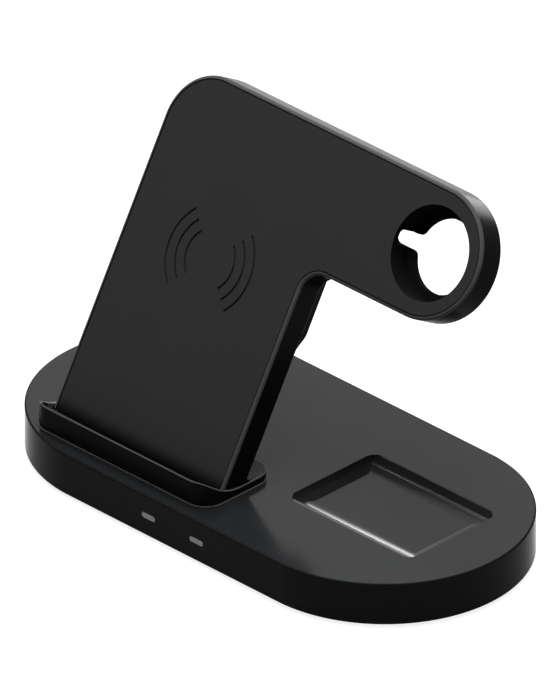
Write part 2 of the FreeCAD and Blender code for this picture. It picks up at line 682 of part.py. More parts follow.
def make_coil_carrier():
    carrier = rounded_block(STAND_X - CARRIER_HALF, STAND_X + CARRIER_HALF, CARRIER_LOW, CARRIER_HIGH,
                            CARRIER_CORNER, CARRIER_BACK, CARRIER_FRONT)
    hole_radius = CARRIER_SCREW_RADIUS + FIT
    holes = [post(x, v, CARRIER_BACK, CARRIER_FRONT, hole_radius) for x, v in carrier_spots()]
    return on_stand(carrier.cut(holes))


def make_carrier_screws():
    length = CARRIER_FRONT - CAVITY_BACK - CARRIER_SCREW_GAP
    screws = [pan_screw(x, v, CARRIER_FRONT, CARRIER_HEAD_RADIUS, CARRIER_HEAD,
                        CARRIER_SCREW_RADIUS, length, -1) for x, v in carrier_spots()]
    return on_stand(Part.Compound(screws))


# Anchor under the base's top

def make_anchor_plate():
    plate = rounded_block(TENON_LEFT - ANCHOR_MARGIN, TENON_RIGHT + ANCHOR_MARGIN,
                          TENON_FRONT - ANCHOR_MARGIN / 2, TENON_REAR + ANCHOR_MARGIN,
                          SHEET_CORNER, ANCHOR_UNDER, SKIN_UNDER)
    holes = [post(x, TENON_Y, ANCHOR_UNDER, SKIN_UNDER, SCREW_RADIUS + FIT) for x in ANCHOR_SCREW_X]
    holes.append(post(STAND_X, HARNESS_Y, ANCHOR_UNDER, SKIN_UNDER, HARNESS_HOLE))
    return plate.cut(holes)


def make_anchor_screws():
    length = ANCHOR_THICKNESS + ANCHOR_SCREW_LENGTH
    return Part.Compound([pan_screw(x, TENON_Y, ANCHOR_UNDER, SCREW_HEAD_RADIUS, ANCHOR_HEAD, SCREW_RADIUS,
                                    length, 1) for x in ANCHOR_SCREW_X])


def rounded_path(points, radii):
    """Straight runs through the points, joined by tangent arcs."""
    edges = []
    start = points[0]
    for index, radius in enumerate(radii, 1):
        corner = points[index]
        back = (points[index - 1] - corner).normalize()
        ahead = (points[index + 1] - corner).normalize()
        half = back.getAngle(ahead) / 2
        reach = radius / math.tan(half)
        bisector = (back + ahead).normalize()
        middle = corner + bisector * (radius / math.sin(half) - radius)
        enter = corner + back * reach
        leave = corner + ahead * reach
        edges.append(Part.makeLine(start, enter))
        edges.append(Part.Arc(enter, middle, leave).toShape())
        start = leave
    edges.append(Part.makeLine(start, points[-1]))
    return Part.Wire(edges)


def make_stand_harness():
    """The coil leads: down inside the stand, through the tenon and across to the board."""
    points = [stand_point(STAND_X, *HARNESS_START), Vector(STAND_X, HARNESS_Y, HARNESS_BEND_Z),
              Vector(STAND_X, HARNESS_Y, HARNESS_Z), Vector(HARNESS_END_X, HARNESS_Y, HARNESS_Z)]
    path = rounded_path(points, HARNESS_BENDS)
    section = Part.Wire(Part.makeCircle(HARNESS_RADIUS, points[0], points[1] - points[0]))
    return path.makePipeShell([section], True, False)


def all_parts():
    """Every piece of the charger, by the name of its node."""
    parts = {
        "base_shell": make_base_shell(),
        "base_plate": make_base_plate(),
        "base_screws": make_base_screws(),
        "ballast_plate": make_ballast_plate(),
        "main_board": make_main_board(),
        "board_screws": make_board_screws(),
        "board_components": make_board_components(),
        "indicator_leds": make_indicator_leds(),
        "led_light_pipe_left": make_light_pipe(-1),
        "led_light_pipe_right": make_light_pipe(1),
        "inlet_socket_shell": make_socket_shell(),
        "inlet_socket_tongue": make_socket_tongue(),
        "earbud_coil": make_earbud_coil(),
        "earbud_ferrite": make_earbud_ferrite(),
        "phone_ledge": make_phone_ledge(),
        "stand_shell": make_stand_shell(),
        "stand_front_panel": make_stand_front_panel(),
        "cable_cover": make_cable_cover(),
        "cover_screws": make_cover_screws(),
        "phone_coil_upper": make_phone_coil(COIL_V["upper"], UPPER_COIL_FRONT),
        "phone_coil_lower": make_phone_coil(COIL_V["lower"], LOWER_COIL_FRONT),
        "phone_ferrite": make_phone_ferrite(),
        "coil_carrier": make_coil_carrier(),
        "carrier_screws": make_carrier_screws(),
        "anchor_plate": make_anchor_plate(),
        "anchor_screws": make_anchor_screws(),
        "stand_harness": make_stand_harness(),
    }
    for corner, (x, y) in FOOT_SPOTS.items():
        parts["rubber_foot_" + corner] = make_foot(x, y)
    return parts


os.makedirs("parts", exist_ok=True)
for name, shape in all_parts().items():
    shape.exportStep(os.path.join("parts", name + ".step"))
    print(name, len(shape.Solids), shape.isValid(), round(shape.Volume, 1))
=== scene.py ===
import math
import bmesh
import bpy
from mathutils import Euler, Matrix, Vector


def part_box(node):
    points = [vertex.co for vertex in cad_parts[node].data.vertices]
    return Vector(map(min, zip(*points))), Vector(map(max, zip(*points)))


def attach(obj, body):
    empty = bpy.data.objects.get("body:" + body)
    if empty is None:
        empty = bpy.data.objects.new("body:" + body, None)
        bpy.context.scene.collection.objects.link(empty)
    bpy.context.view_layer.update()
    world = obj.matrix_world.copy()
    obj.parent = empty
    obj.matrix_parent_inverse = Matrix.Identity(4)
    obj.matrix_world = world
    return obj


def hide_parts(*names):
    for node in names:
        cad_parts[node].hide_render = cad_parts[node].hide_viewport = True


bl_info = {
    "name": "Desk Charger Dressing",
    "version": (1, 0, 0),
    "blender": (4, 5, 0),
    "location": "View3D > Sidebar > Charger",
    "description": "Models and finishes a desk charger for a phone, a watch and an earbud case",
    "category": "Object",
}

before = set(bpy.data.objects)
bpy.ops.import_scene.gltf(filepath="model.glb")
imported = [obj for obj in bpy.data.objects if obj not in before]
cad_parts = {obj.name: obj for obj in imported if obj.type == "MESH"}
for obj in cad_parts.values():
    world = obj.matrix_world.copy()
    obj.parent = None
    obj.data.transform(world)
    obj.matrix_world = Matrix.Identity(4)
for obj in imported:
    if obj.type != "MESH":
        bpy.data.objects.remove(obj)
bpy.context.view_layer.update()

# Everything is in metres. Sizes that the frame holds are read from it.
MM = 0.001
BASE_LOW, BASE_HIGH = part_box("base_shell")
LEDGE_LOW, LEDGE_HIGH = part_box("phone_ledge")
PIPE_LOW, PIPE_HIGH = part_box("led_light_pipe_right")
PLATE_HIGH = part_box("base_plate")[1]
SOCKET_LOW, SOCKET_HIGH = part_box("inlet_socket_shell")
BASE_TOP = BASE_HIGH.z
BASE_UNDER = BASE_LOW.z
BASE_SKIN = 2.6 * MM
BASE_WALL = 2.2 * MM
SKIN_UNDER = BASE_TOP - BASE_SKIN
BOSS_SPOTS = [(x * MM, y * MM) for x, y in ((-80, 0), (80, 0), (-30, 37), (30, 37), (-30, -38), (30, -38))]
BOSS_RADIUS = 3.0 * MM
SCREW_HOLE = 1.25 * MM
SCREW_TOP = PLATE_HIGH.z + 8.0 * MM
TRAY_MARGIN = 1.6 * MM
TRAY_PAD = 2.4 * MM
INLET_MARGIN = 0.33 * MM
BASE_EASE = 0.18 * MM
PIPE_CROWN = 0.25 * MM
FOOT_SHOULDER = 0.25 * MM
FOOT_RING_MARGIN, FOOT_RING_WIDTH, FOOT_RING_DEPTH = 1.4 * MM, 0.9 * MM, 0.35 * MM
BEAD_ROUND = 0.9

# Room for a cut to pass a surface, play between pieces, and the reach of small gaps and slivers.
SPARE = 1.0 * MM
FIT = 0.05 * MM
MERGE = 0.01 * MM
SLIVER = 0.002 * MM
NEAR = 0.02 * MM
END_FLAT = 0.02 * MM
EAST, NORTH, UP = Vector((1, 0, 0)), Vector((0, 1, 0)), Vector((0, 0, 1))

# The stand leans back; its own x, v, w are along the base, up the slope and out of its front.
STAND_LEAN = math.radians(30)
STAND_FOOT = Vector((0, -33.2 * MM, BASE_TOP))
STAND_TURN = Euler((math.pi / 2 - STAND_LEAN, 0, 0))
STAND_LOW = -14.0 * MM
CAVITY_LOW = 8.0 * MM
STAND_WALL = 2.4 * MM
STAND_BACK = 2.0 * MM
STAND_BACK_EDGE = 0.6 * MM
STAND_EASE = 0.12 * MM
PANEL_EASE = 0.1 * MM
LEDGE_TOP = BASE_TOP + 2.6 * MM
TENON = (-52.0 * MM, -7.0 * MM, -30.9 * MM, -22.5 * MM)
ANCHOR_SCREW_X = (-46.0 * MM, -13.0 * MM)
ANCHOR_SCREW_LENGTH = 6.0 * MM
HARNESS_HOLE = 1.7 * MM
HARNESS_Y = -25.4 * MM
HARNESS_TOP = 24.0 * MM
SEAT_WALL = 1.6 * MM
SLOT_ROOF_ROUND = 1.3 * MM
SLOT_ROOF_SET = 0.25 * MM
COVER_EDGE = 0.9 * MM
COVER_EASE = 0.2 * MM
COVER_SCREWS = (66 * MM, 104 * MM)
COVER_SCREW_HOLE = 1.05 * MM
COVER_HEAD_HOLE = 1.95 * MM
COVER_HEAD_DEPTH = 1.2 * MM
LEAD_NOTCH = 5 * MM

# Where a finish changes on a piece, and where a painted highlight and a painted shade lie.
FRONT_HIGHLIGHT = 0.3
FRONT_HIGHLIGHT_SLOPE = math.radians(22)
LINING_REACH = 0.2 * MM
# Painted shade: the panel darkens over this height above the ledge, and the trough and panel foot darken to
# this share of their colour.
TROUGH = 4.5 * MM
TROUGH_SHADE = 0.1

# Roughness and specular level of the plastics.
BASE_GLOSS = (0.14, 0.02)
LEDGE_GLOSS = (0.25, 0.007)
STAND_GLOSS = (0.25, 0.012)
COVER_GLOSS = (0.3, 0.012)
PANEL_GLOSS = (0.55, 0.05)
PLATE_GLOSS = (0.5, 0.12)
EDGE_GLOSS = (0.5, 0)
MATT_GLOSS = (0.6, 0)
LINING_GLOSS = (0.7, 0)
GLOSS_CHANGE = 0.01
NOISE_LOW, NOISE_HIGH = 0.3, 0.7
COOL_GLOSS = (0.89, 0.95, 1, 1)


# Properties

class ChargerBaseSizes(bpy.types.PropertyGroup):
    """Sizes of the base and its tray."""

    edge: bpy.props.FloatProperty(
        name="Base Edge", description="Radius of the base's outer edges",
        default=0.5 * MM, min=0.1 * MM, unit="LENGTH", precision=5)
    tray_low: bpy.props.FloatVectorProperty(
        name="Tray Front Left", description="Front left corner of the tray's mouth",
        default=(19.6 * MM, -16.6 * MM), size=2, unit="LENGTH", precision=5)
    tray_high: bpy.props.FloatVectorProperty(
        name="Tray Rear Right", description="Rear right corner of the tray's mouth",
        default=(72.4 * MM, 21.4 * MM), size=2, unit="LENGTH", precision=5)
    tray_depth: bpy.props.FloatProperty(
        name="Tray Depth", description="Depth of the tray's floor below the base's top",
        default=2.5 * MM, unit="LENGTH", precision=5)
    tray_coves: bpy.props.FloatVectorProperty(
        name="Tray Coves", description="Radii of the tray's long and short sides",
        default=(12.0 * MM, 6.0 * MM), size=2, unit="LENGTH", precision=5)
    tray_corner: bpy.props.FloatProperty(
        name="Tray Corner", description="Radius of the tray's corners at its mouth",
        default=4.0 * MM, unit="LENGTH", precision=5)


class ChargerLedgeSizes(bpy.types.PropertyGroup):
    """Sizes of the phone ledge."""

    corner: bpy.props.FloatProperty(
        name="Ledge Corner", description="Radius of the ledge's corners in plan",
        default=7.0 * MM, unit="LENGTH", precision=5)
    lip_thickness: bpy.props.FloatProperty(
        name="Lip Thickness", description="Thickness of the lip",
        default=1.3 * MM, unit="LENGTH", precision=5)
    lip_level: bpy.props.FloatProperty(
        name="Lip Level", description="Distance from the front at which the lip starts to sweep down",
        default=0.6 * MM, unit="LENGTH", precision=5)
    lip_sweep: bpy.props.FloatProperty(
        name="Lip Sweep", description="Distance from the front at which the lip meets the plate",
        default=15.0 * MM, unit="LENGTH", precision=5)
    lip_ease: bpy.props.FloatVectorProperty(
        name="Lip Ease", description="Lengths of the sweep's level start and level end",
        default=(1.9 * MM, 7.5 * MM), size=2, unit="LENGTH", precision=5)
    bead: bpy.props.FloatProperty(
        name="Foot Bead", description="Width and height of the bead round the ledge's foot",
        default=0.35 * MM, unit="LENGTH", precision=5)
    edge: bpy.props.FloatProperty(
        name="Ledge Edge", description="Radius of the ledge's edges",
        default=0.35 * MM, unit="LENGTH", precision=5)


class ChargerStandSizes(bpy.types.PropertyGroup):
    """Sizes of the stand, in its own x, v and w."""

    left: bpy.props.FloatProperty(
        name="Left Side", description="Left side of the stand",
        default=-65.9 * MM, unit="LENGTH", precision=5)
    right: bpy.props.FloatProperty(
        name="Right Side", description="Right side of the upright",
        default=7.0 * MM, unit="LENGTH", precision=5)
    top: bpy.props.FloatProperty(
        name="Top", description="Top edge, up the slope from the base",
        default=117.6 * MM, unit="LENGTH", precision=5)
    arm_under: bpy.props.FloatProperty(
        name="Arm Underside", description="Lower edge of the watch arm, up the slope",
        default=76.3 * MM, unit="LENGTH", precision=5)
    arm_reach: bpy.props.FloatProperty(
        name="Arm Reach", description="Far end of the watch arm",
        default=68.6 * MM, unit="LENGTH", precision=5)
    corner: bpy.props.FloatProperty(
        name="Top Corner", description="Radius of the top left corner",
        default=18.0 * MM, unit="LENGTH", precision=5)
    notch: bpy.props.FloatProperty(
        name="Notch Radius", description="Radius where the arm leaves the upright",
        default=7.2 * MM, unit="LENGTH", precision=5)
    thickness: bpy.props.FloatProperty(
        name="Thickness", description="Thickness of the stand",
        default=9.6 * MM, unit="LENGTH", precision=5)
    bevel: bpy.props.FloatProperty(
        name="Rim Bevel", description="Width of the bevel round the stand's front",
        default=1.0 * MM, unit="LENGTH", precision=5)
    rim: bpy.props.FloatProperty(
        name="Rim", description="Width of the rim round the front panel",
        default=1.25 * MM, unit="LENGTH", precision=5)
    seam: bpy.props.FloatProperty(
        name="Seam", description="Gap between the front panel and the rim",
        default=0.15 * MM, unit="LENGTH", precision=5)
    panel_set: bpy.props.FloatProperty(
        name="Panel Set", description="How far the front panel lies below the rim",
        default=0.1 * MM, unit="LENGTH", precision=5)
    panel: bpy.props.FloatProperty(
        name="Panel Thickness", description="Thickness of the front panel",
        default=1.6 * MM, unit="LENGTH", precision=5)
    seat_x: bpy.props.FloatProperty(
        name="Watch Seat", description="Middle of the watch seat along the arm",
        default=48.75 * MM, unit="LENGTH", precision=5)
    seat: bpy.props.FloatProperty(
        name="Seat Radius", description="Radius of the watch seat",
        default=14.8 * MM, unit="LENGTH", precision=5)
    through: bpy.props.FloatProperty(
        name="Push-out Radius", description="Radius of the hole behind the watch seat",
        default=11.7 * MM, unit="LENGTH", precision=5)
    slot: bpy.props.FloatProperty(
        name="Lead Slot", description="Width of the slot for the watch lead",
        default=5.0 * MM, unit="LENGTH", precision=5)
    slot_reach: bpy.props.FloatProperty(
        name="Lead Slot Reach", description="Length of the slot from the seat's middle",
        default=21.1 * MM, unit="LENGTH", precision=5)
    slot_round: bpy.props.FloatProperty(
        name="Lead Slot Round", description="Radius where the slot meets the hole",
        default=2.2 * MM, unit="LENGTH", precision=5)
    arc_v: bpy.props.FloatProperty(
        name="Mark Height", description="Middle of the charging mark, up the slope",
        default=65.3 * MM, unit="LENGTH", precision=5)
    arc_radii: bpy.props.FloatVectorProperty(
        name="Mark Radii", description="Radii of the charging mark's arcs",
        default=(9.7 * MM, 13.45 * MM, 17.2 * MM), size=3, unit="LENGTH", precision=5)
    arc_width: bpy.props.FloatProperty(
        name="Mark Line", description="Width of the charging mark's grooves",
        default=0.75 * MM, unit="LENGTH", precision=5)
    arc_depth: bpy.props.FloatProperty(
        name="Mark Depth", description="Depth of the charging mark's grooves",
        default=0.6 * MM, unit="LENGTH", precision=5)
    arc_half_angle: bpy.props.FloatProperty(
        name="Mark Half Angle", description="Half of the angle that each arc takes",
        default=math.radians(46), subtype="ANGLE")


class ChargerCoverSizes(bpy.types.PropertyGroup):
    """Sizes of the cable cover on the back of the stand."""

    margin: bpy.props.FloatProperty(
        name="Margin", description="Distance of the cover from the upright's sides",
        default=2.5 * MM, unit="LENGTH", precision=5)
    low: bpy.props.FloatProperty(
        name="Lower End", description="Lower end of the cover, up the slope",
        default=41.5 * MM, unit="LENGTH", precision=5)
    high: bpy.props.FloatProperty(
        name="Upper End", description="Upper end of the cover, up the slope",
        default=113.0 * MM, unit="LENGTH", precision=5)
    depth: bpy.props.FloatProperty(
        name="Depth", description="How far the cover stands out from the stand's back",
        default=6.0 * MM, unit="LENGTH", precision=5)
    low_slope: bpy.props.FloatProperty(
        name="Lower Slope", description="How far the lower end slopes in",
        default=11.5 * MM, unit="LENGTH", precision=5)
    slope: bpy.props.FloatProperty(
        name="Side Slope", description="How far the other sides slope in",
        default=0.4 * MM, unit="LENGTH", precision=5)
    corner: bpy.props.FloatProperty(
        name="Corner", description="Radius of the cover's corners",
        default=4.0 * MM, unit="LENGTH", precision=5)
    wall: bpy.props.FloatProperty(
        name="Wall", description="Thickness of the cover's wall",
        default=1.6 * MM, unit="LENGTH", precision=5)


class ChargerFinishes(bpy.types.PropertyGroup):
    """Colours of the charger's finishes."""

    base: bpy.props.FloatVectorProperty(
        name="Base", description="Fine matt black of the base",
        default=(0.0134, 0.014, 0.0148), size=3, subtype="COLOR", min=0, max=1)
    ledge: bpy.props.FloatVectorProperty(
        name="Ledge", description="Satin black of the phone ledge",
        default=(0.012, 0.0121, 0.0124), size=3, subtype="COLOR", min=0, max=1)
    stand: bpy.props.FloatVectorProperty(
        name="Stand", description="Satin black of the stand's housing",
        default=(0.008, 0.008, 0.0083), size=3, subtype="COLOR", min=0, max=1)
    panel: bpy.props.FloatVectorProperty(
        name="Panel", description="Soft-touch black of the front panel",
        default=(0.03, 0.03, 0.031), size=3, subtype="COLOR", min=0, max=1)
    # The paler edge colour is a painted highlight: it stands in for the light that the rims and edges catch.
    edge: bpy.props.FloatVectorProperty(
        name="Edges", description="Paler black of the highlighted rims and edges",
        default=(0.085, 0.085, 0.086), size=3, subtype="COLOR", min=0, max=1)
    pipe: bpy.props.FloatVectorProperty(
        name="Light Pipes", description="Frosted white of the indicator windows",
        default=(0.36, 0.363, 0.367), size=3, subtype="COLOR", min=0, max=1)
    rubber: bpy.props.FloatVectorProperty(
        name="Rubber", description="Black of the rubber feet",
        default=(0.025, 0.025, 0.025), size=3, subtype="COLOR", min=0, max=1)


# Modelling tools

def deselect():
    """Nothing is selected afterwards, the CAD nodes included."""
    bpy.ops.object.select_all(action="DESELECT")


def activate(piece):
    """The piece alone is selected and active."""
    deselect()
    piece.select_set(True)
    bpy.context.view_layer.objects.active = piece


def into_edit(piece):
    activate(piece)
    bpy.ops.object.mode_set(mode="EDIT")


def out_of_edit():
    bpy.ops.object.mode_set(mode="OBJECT")


def settle(piece):
    """Puts the piece's place, turn and scale into its mesh."""
    activate(piece)
    bpy.ops.object.transform_apply(location=True, rotation=True, scale=True)


def pick(piece, kind, test):
    """In edit mode, selects the vertices, edges or faces all of whose corners pass the test."""
    bpy.ops.mesh.select_mode(type=kind)
    bpy.ops.mesh.select_all(action="DESELECT")
    mesh = bmesh.from_edit_mesh(piece.data)
    if kind == "VERT":
        for vertex in mesh.verts:
            vertex.select = test(vertex.co)
    else:
        for element in mesh.edges if kind == "EDGE" else mesh.faces:
            element.select = all(test(vertex.co) for vertex in element.verts)
    mesh.select_flush_mode()
    bmesh.update_edit_mesh(piece.data)


def near(a, b):
    return abs(a - b) < NEAR


def rectangle(name, x0, x1, y0, y1, z):
    """A flat face between two corners."""
    deselect()
    bpy.ops.mesh.primitive_plane_add(size=1, location=((x0 + x1) / 2, (y0 + y1) / 2, z))
    piece = bpy.context.object
    piece.name = name
    piece.scale = (x1 - x0, y1 - y0, 1)
    settle(piece)
    return piece


def round_corners(piece, radius, test, segments):
    """Turns the corners of a flat face that pass the test into arcs."""
    into_edit(piece)
    pick(piece, "VERT", test)
    bpy.ops.mesh.bevel(offset=radius, segments=segments, affect="VERTICES", clamp_overlap=False)
    bpy.ops.mesh.select_all(action="SELECT")
    bpy.ops.mesh.remove_doubles(threshold=MERGE)
    out_of_edit()


def raise_face(piece, rise):
    """Extrudes a flat face into a solid whose normals point out."""
    into_edit(piece)
    bpy.ops.mesh.select_all(action="SELECT")
    bpy.ops.mesh.extrude_region_move(TRANSFORM_OT_translate={"value": rise})
    bpy.ops.mesh.select_all(action="SELECT")
    bpy.ops.mesh.normals_make_consistent(inside=False)
    out_of_edit()


def rounded_slab(name, x0, x1, y0, y1, z0, z1, radius, segments=10):
    """A slab with rounded upright corners."""
    piece = rectangle(name, x0, x1, y0, y1, z0)
    round_corners(piece, radius, lambda point: True, segments)
    raise_face(piece, (0, 0, z1 - z0))
    return piece


def drum(name, x, y, z0, z1, radius, vertices=64):
    """An upright round bar."""
    deselect()
    bpy.ops.mesh.primitive_cylinder_add(vertices=vertices, radius=radius, depth=z1 - z0,
                                        location=(x, y, (z0 + z1) / 2))
    piece = bpy.context.object
    piece.name = name
    settle(piece)
    return piece


def pill_along_y(name, x, z, width, height, y0, y1, segments=12):
    """A bar with round ends in section, running front to back."""
    piece = rounded_slab(name, -width / 2, width / 2, -height / 2, height / 2, 0, y1 - y0,
                         height / 2, segments)
    piece.rotation_euler = (-math.pi / 2, 0, 0)
    piece.location = (x, y0, z)
    settle(piece)
    return piece


def combine(piece, others, operation):
    """Combines other solids with a piece, one after the other, and removes them."""
    for other in others:
        activate(piece)
        step = piece.modifiers.new("combine", "BOOLEAN")
        step.operation = operation
        step.solver = "EXACT"
        step.object = other
        bpy.ops.object.modifier_apply(modifier=step.name)
        bpy.data.objects.remove(other)
    if not piece.data.polygons:
        raise RuntimeError(piece.name + " was lost in a cut")


def cut(piece, *others):
    combine(piece, others, "DIFFERENCE")


def keep_common(piece, *others):
    combine(piece, others, "INTERSECT")


def unite(piece, *others):
    combine(piece, others, "UNION")


def space_over(name, ends, eases, run, rise, across):
    """The solid over a smooth slope between two points, which runs on level, rises and goes across."""
    deselect()
    bpy.ops.curve.primitive_bezier_curve_add(location=(0, 0, 0))
    piece = bpy.context.object
    piece.name = name
    piece.data.resolution_u = 24
    for point, place, ease in zip(piece.data.splines[0].bezier_points, ends, eases):
        point.handle_left_type = point.handle_right_type = "FREE"
        point.co = place
        point.handle_left = place - ease
        point.handle_right = place + ease
    bpy.ops.object.convert(target="MESH")
    into_edit(piece)
    pick(piece, "VERT", lambda point: (point - ends[1]).length < FIT)
    bpy.ops.mesh.extrude_vertices_move(TRANSFORM_OT_translate={"value": run})
    bpy.ops.mesh.select_mode(type="EDGE")
    bpy.ops.mesh.select_all(action="SELECT")
    bpy.ops.mesh.extrude_edges_move(TRANSFORM_OT_translate={"value": rise})
    out_of_edit()
    raise_face(piece, across)
    return piece


def finish_number(piece, finish):
    """The place of a finish among a piece's own, or -1 to keep what is there."""
    return piece.data.materials.find(finish.name) if finish else -1


def bevel_edges(piece, test, width, segments, finish=None):
    """Bevels the edges whose ends pass the test, and may give the bevel another of the piece's finishes."""
    into_edit(piece)
    pick(piece, "EDGE", test)
    bpy.ops.mesh.bevel(offset=width, segments=segments, affect="EDGES", clamp_overlap=False,
                       material=finish_number(piece, finish))
    out_of_edit()


def ease_edges(piece, width, segments=2, angle=40, finish=None):
    """Rounds every remaining sharp edge a little, closes what that leaves open and shades the piece."""
    activate(piece)
    step = piece.modifiers.new("ease", "BEVEL")
    step.limit_method = "ANGLE"
    step.angle_limit = math.radians(angle)
    step.width = width
    step.segments = segments
    step.use_clamp_overlap = False
    step.material = finish_number(piece, finish)
    bpy.ops.object.modifier_apply(modifier=step.name)
    into_edit(piece)
    bpy.ops.mesh.select_all(action="SELECT")
    bpy.ops.mesh.dissolve_degenerate(threshold=SLIVER)
    bpy.ops.mesh.select_all(action="SELECT")
    bpy.ops.mesh.fill_holes(sides=8)
    out_of_edit()
    shade(piece)


def shade(piece, angle=35):
    """Smooth shading that keeps flat faces flat."""
    activate(piece)
    bpy.ops.object.shade_smooth_by_angle(angle=math.radians(angle))
    step = piece.modifiers.new("flats", "WEIGHTED_NORMAL")
    step.keep_sharp = True
    step.weight = 100
    bpy.ops.object.modifier_apply(modifier=step.name)


def lean(piece):
    """Takes a piece drawn in the stand's own x, v, w to its leaning place."""
    piece.rotation_euler = STAND_TURN
    piece.location = STAND_FOOT
    settle(piece)


def bisect(piece, place, direction, **how):
    """Cuts the faces of a piece along a plane."""
    into_edit(piece)
    bpy.ops.mesh.select_all(action="SELECT")
    bpy.ops.mesh.bisect(plane_co=place, plane_no=direction, **how)
    out_of_edit()


def cut_level(piece, height):
    """Removes what is below a height and closes the piece there."""
    bisect(piece, UP * height, UP, use_fill=True, clear_inner=True)


def wear(piece, *materials):
    """Gives a piece its finishes, the first of which is the main one."""
    for material in materials:
        piece.data.materials.append(material)


def paint(piece, finish, test):
    """Gives another of its finishes to the faces of a piece all of whose corners pass the test."""
    into_edit(piece)
    pick(piece, "FACE", test)
    piece.active_material_index = finish_number(piece, finish)
    bpy.ops.object.material_slot_assign()
    out_of_edit()


def dress(piece, slot, *nodes):
    """Attaches a finished piece to the root and hides the CAD nodes it stands for."""
    if not piece.data.materials:
        raise RuntimeError(piece.name + " has no finish")
    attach(piece, "root")
    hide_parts(*nodes)


# Materials

def new_material(name):
    material = bpy.data.materials.new(name)
    material.use_nodes = True
    return material, material.node_tree.nodes, material.node_tree.links


def noise(nodes, links, scale, detail):
    """A noise pattern fixed to the piece."""
    place = nodes.new("ShaderNodeTexCoord")
    pattern = nodes.new("ShaderNodeTexNoise")
    pattern.inputs["Scale"].default_value = scale
    pattern.inputs["Detail"].default_value = detail
    links.new(place.outputs["Object"], pattern.inputs["Vector"])
    return pattern


def vary(nodes, links, pattern, low, high, socket):
    """Spreads a pattern between two values into a socket."""
    spread = nodes.new("ShaderNodeMapRange")
    spread.inputs["From Min"].default_value = NOISE_LOW
    spread.inputs["From Max"].default_value = NOISE_HIGH
    spread.inputs["To Min"].default_value = low
    spread.inputs["To Max"].default_value = high
    links.new(pattern.outputs["Fac"], spread.inputs["Value"])
    links.new(spread.outputs["Result"], socket)


def tint(nodes, links, pattern, colour, change, socket):
    """Lightens and darkens a colour a little along a pattern."""
    mix = nodes.new("ShaderNodeMix")
    mix.data_type = "RGBA"
    mix.inputs["A"].default_value = [part * (1 - change) for part in colour] + [1]
    mix.inputs["B"].default_value = [part * (1 + change) for part in colour] + [1]
    links.new(pattern.outputs["Fac"], mix.inputs["Factor"])
    links.new(mix.outputs["Result"], socket)


def grain(nodes, links, shader, scale, strength, height):
    """The fine texture of a surface, as bump."""
    pattern = noise(nodes, links, scale, detail=2)
    bump = nodes.new("ShaderNodeBump")
    bump.inputs["Strength"].default_value = strength
    bump.inputs["Distance"].default_value = height
    links.new(pattern.outputs["Fac"], bump.inputs["Height"])
    links.new(bump.outputs["Normal"], shader.inputs["Normal"])


def moulded_plastic(name, colour, gloss, texture=2600, relief=0.12):
    """A moulded plastic with a fine spark-eroded texture and slightly uneven gloss."""
    roughness, specular = gloss
    material, nodes, links = new_material(name)
    shader = nodes["Principled BSDF"]
    shader.inputs["Specular IOR Level"].default_value = specular
    broad = noise(nodes, links, scale=60, detail=4)
    tint(nodes, links, broad, colour, change=0.05, socket=shader.inputs["Base Color"])
    vary(nodes, links, broad, roughness - GLOSS_CHANGE, roughness + GLOSS_CHANGE, shader.inputs["Roughness"])
    grain(nodes, links, shader, texture, relief, height=0.02 * MM)
    return material


def dim_foot(material, low, high, least):
    """Paints shade into a finish towards a piece's foot, down in a trough that little light reaches."""
    nodes, links = material.node_tree.nodes, material.node_tree.links
    socket = nodes["Principled BSDF"].inputs["Base Color"]
    place = nodes.new("ShaderNodeTexCoord")
    split = nodes.new("ShaderNodeSeparateXYZ")
    fade = nodes.new("ShaderNodeMapRange")
    fade.interpolation_type = "SMOOTHSTEP"
    fade.inputs["From Min"].default_value = low
    fade.inputs["From Max"].default_value = high
    fade.inputs["To Min"].default_value = least
    dim = nodes.new("ShaderNodeVectorMath")
    dim.operation = "SCALE"
    links.new(place.outputs["Object"], split.inputs["Vector"])
    links.new(split.outputs["Z"], fade.inputs["Value"])
    links.new(socket.links[0].from_socket, dim.inputs[0])
    links.new(fade.outputs["Result"], dim.inputs["Scale"])
    links.new(dim.outputs["Vector"], socket)


def frosted_pipe(name, colour):
    """A frosted clear moulding that glows a little from the light it takes in."""
    material, nodes, links = new_material(name)
    shader = nodes["Principled BSDF"]
    shader.inputs["Subsurface Weight"].default_value = 0.3
    shader.inputs["Subsurface Radius"].default_value = (0.6 * MM, 0.6 * MM, 0.6 * MM)
    shader.inputs["Specular IOR Level"].default_value = 0.4
    cloud = noise(nodes, links, scale=900, detail=3)
    tint(nodes, links, cloud, colour, change=0.04, socket=shader.inputs["Base Color"])
    vary(nodes, links, cloud, low=0.34, high=0.46, socket=shader.inputs["Roughness"])
    return material


def soft_rubber(name, colour):
    material, nodes, links = new_material(name)
    shader = nodes["Principled BSDF"]
    shader.inputs["Specular IOR Level"].default_value = 0.2
    cloud = noise(nodes, links, scale=400, detail=4)
    tint(nodes, links, cloud, colour, change=0.12, socket=shader.inputs["Base Color"])
    vary(nodes, links, cloud, low=0.75, high=0.9, socket=shader.inputs["Roughness"])
    grain(nodes, links, shader, scale=1500, strength=0.3, height=0.03 * MM)
    return material


def plain_metal(name, colour, roughness, stretch=(1, 1, 1)):
    """Metal with faint rolling lines along the stretched direction."""
    material, nodes, links = new_material(name)
    shader = nodes["Principled BSDF"]
    shader.inputs["Metallic"].default_value = 1
    lines = noise(nodes, links, scale=1200, detail=3)
    place = nodes.new("ShaderNodeMapping")
    place.inputs["Scale"].default_value = stretch
    links.new(lines.inputs["Vector"].links[0].from_socket, place.inputs["Vector"])
    links.new(place.outputs["Vector"], lines.inputs["Vector"])
    tint(nodes, links, lines, colour, change=0.06, socket=shader.inputs["Base Color"])
    vary(nodes, links, lines, low=roughness - 0.06, high=roughness + 0.08, socket=shader.inputs["Roughness"])
    return material


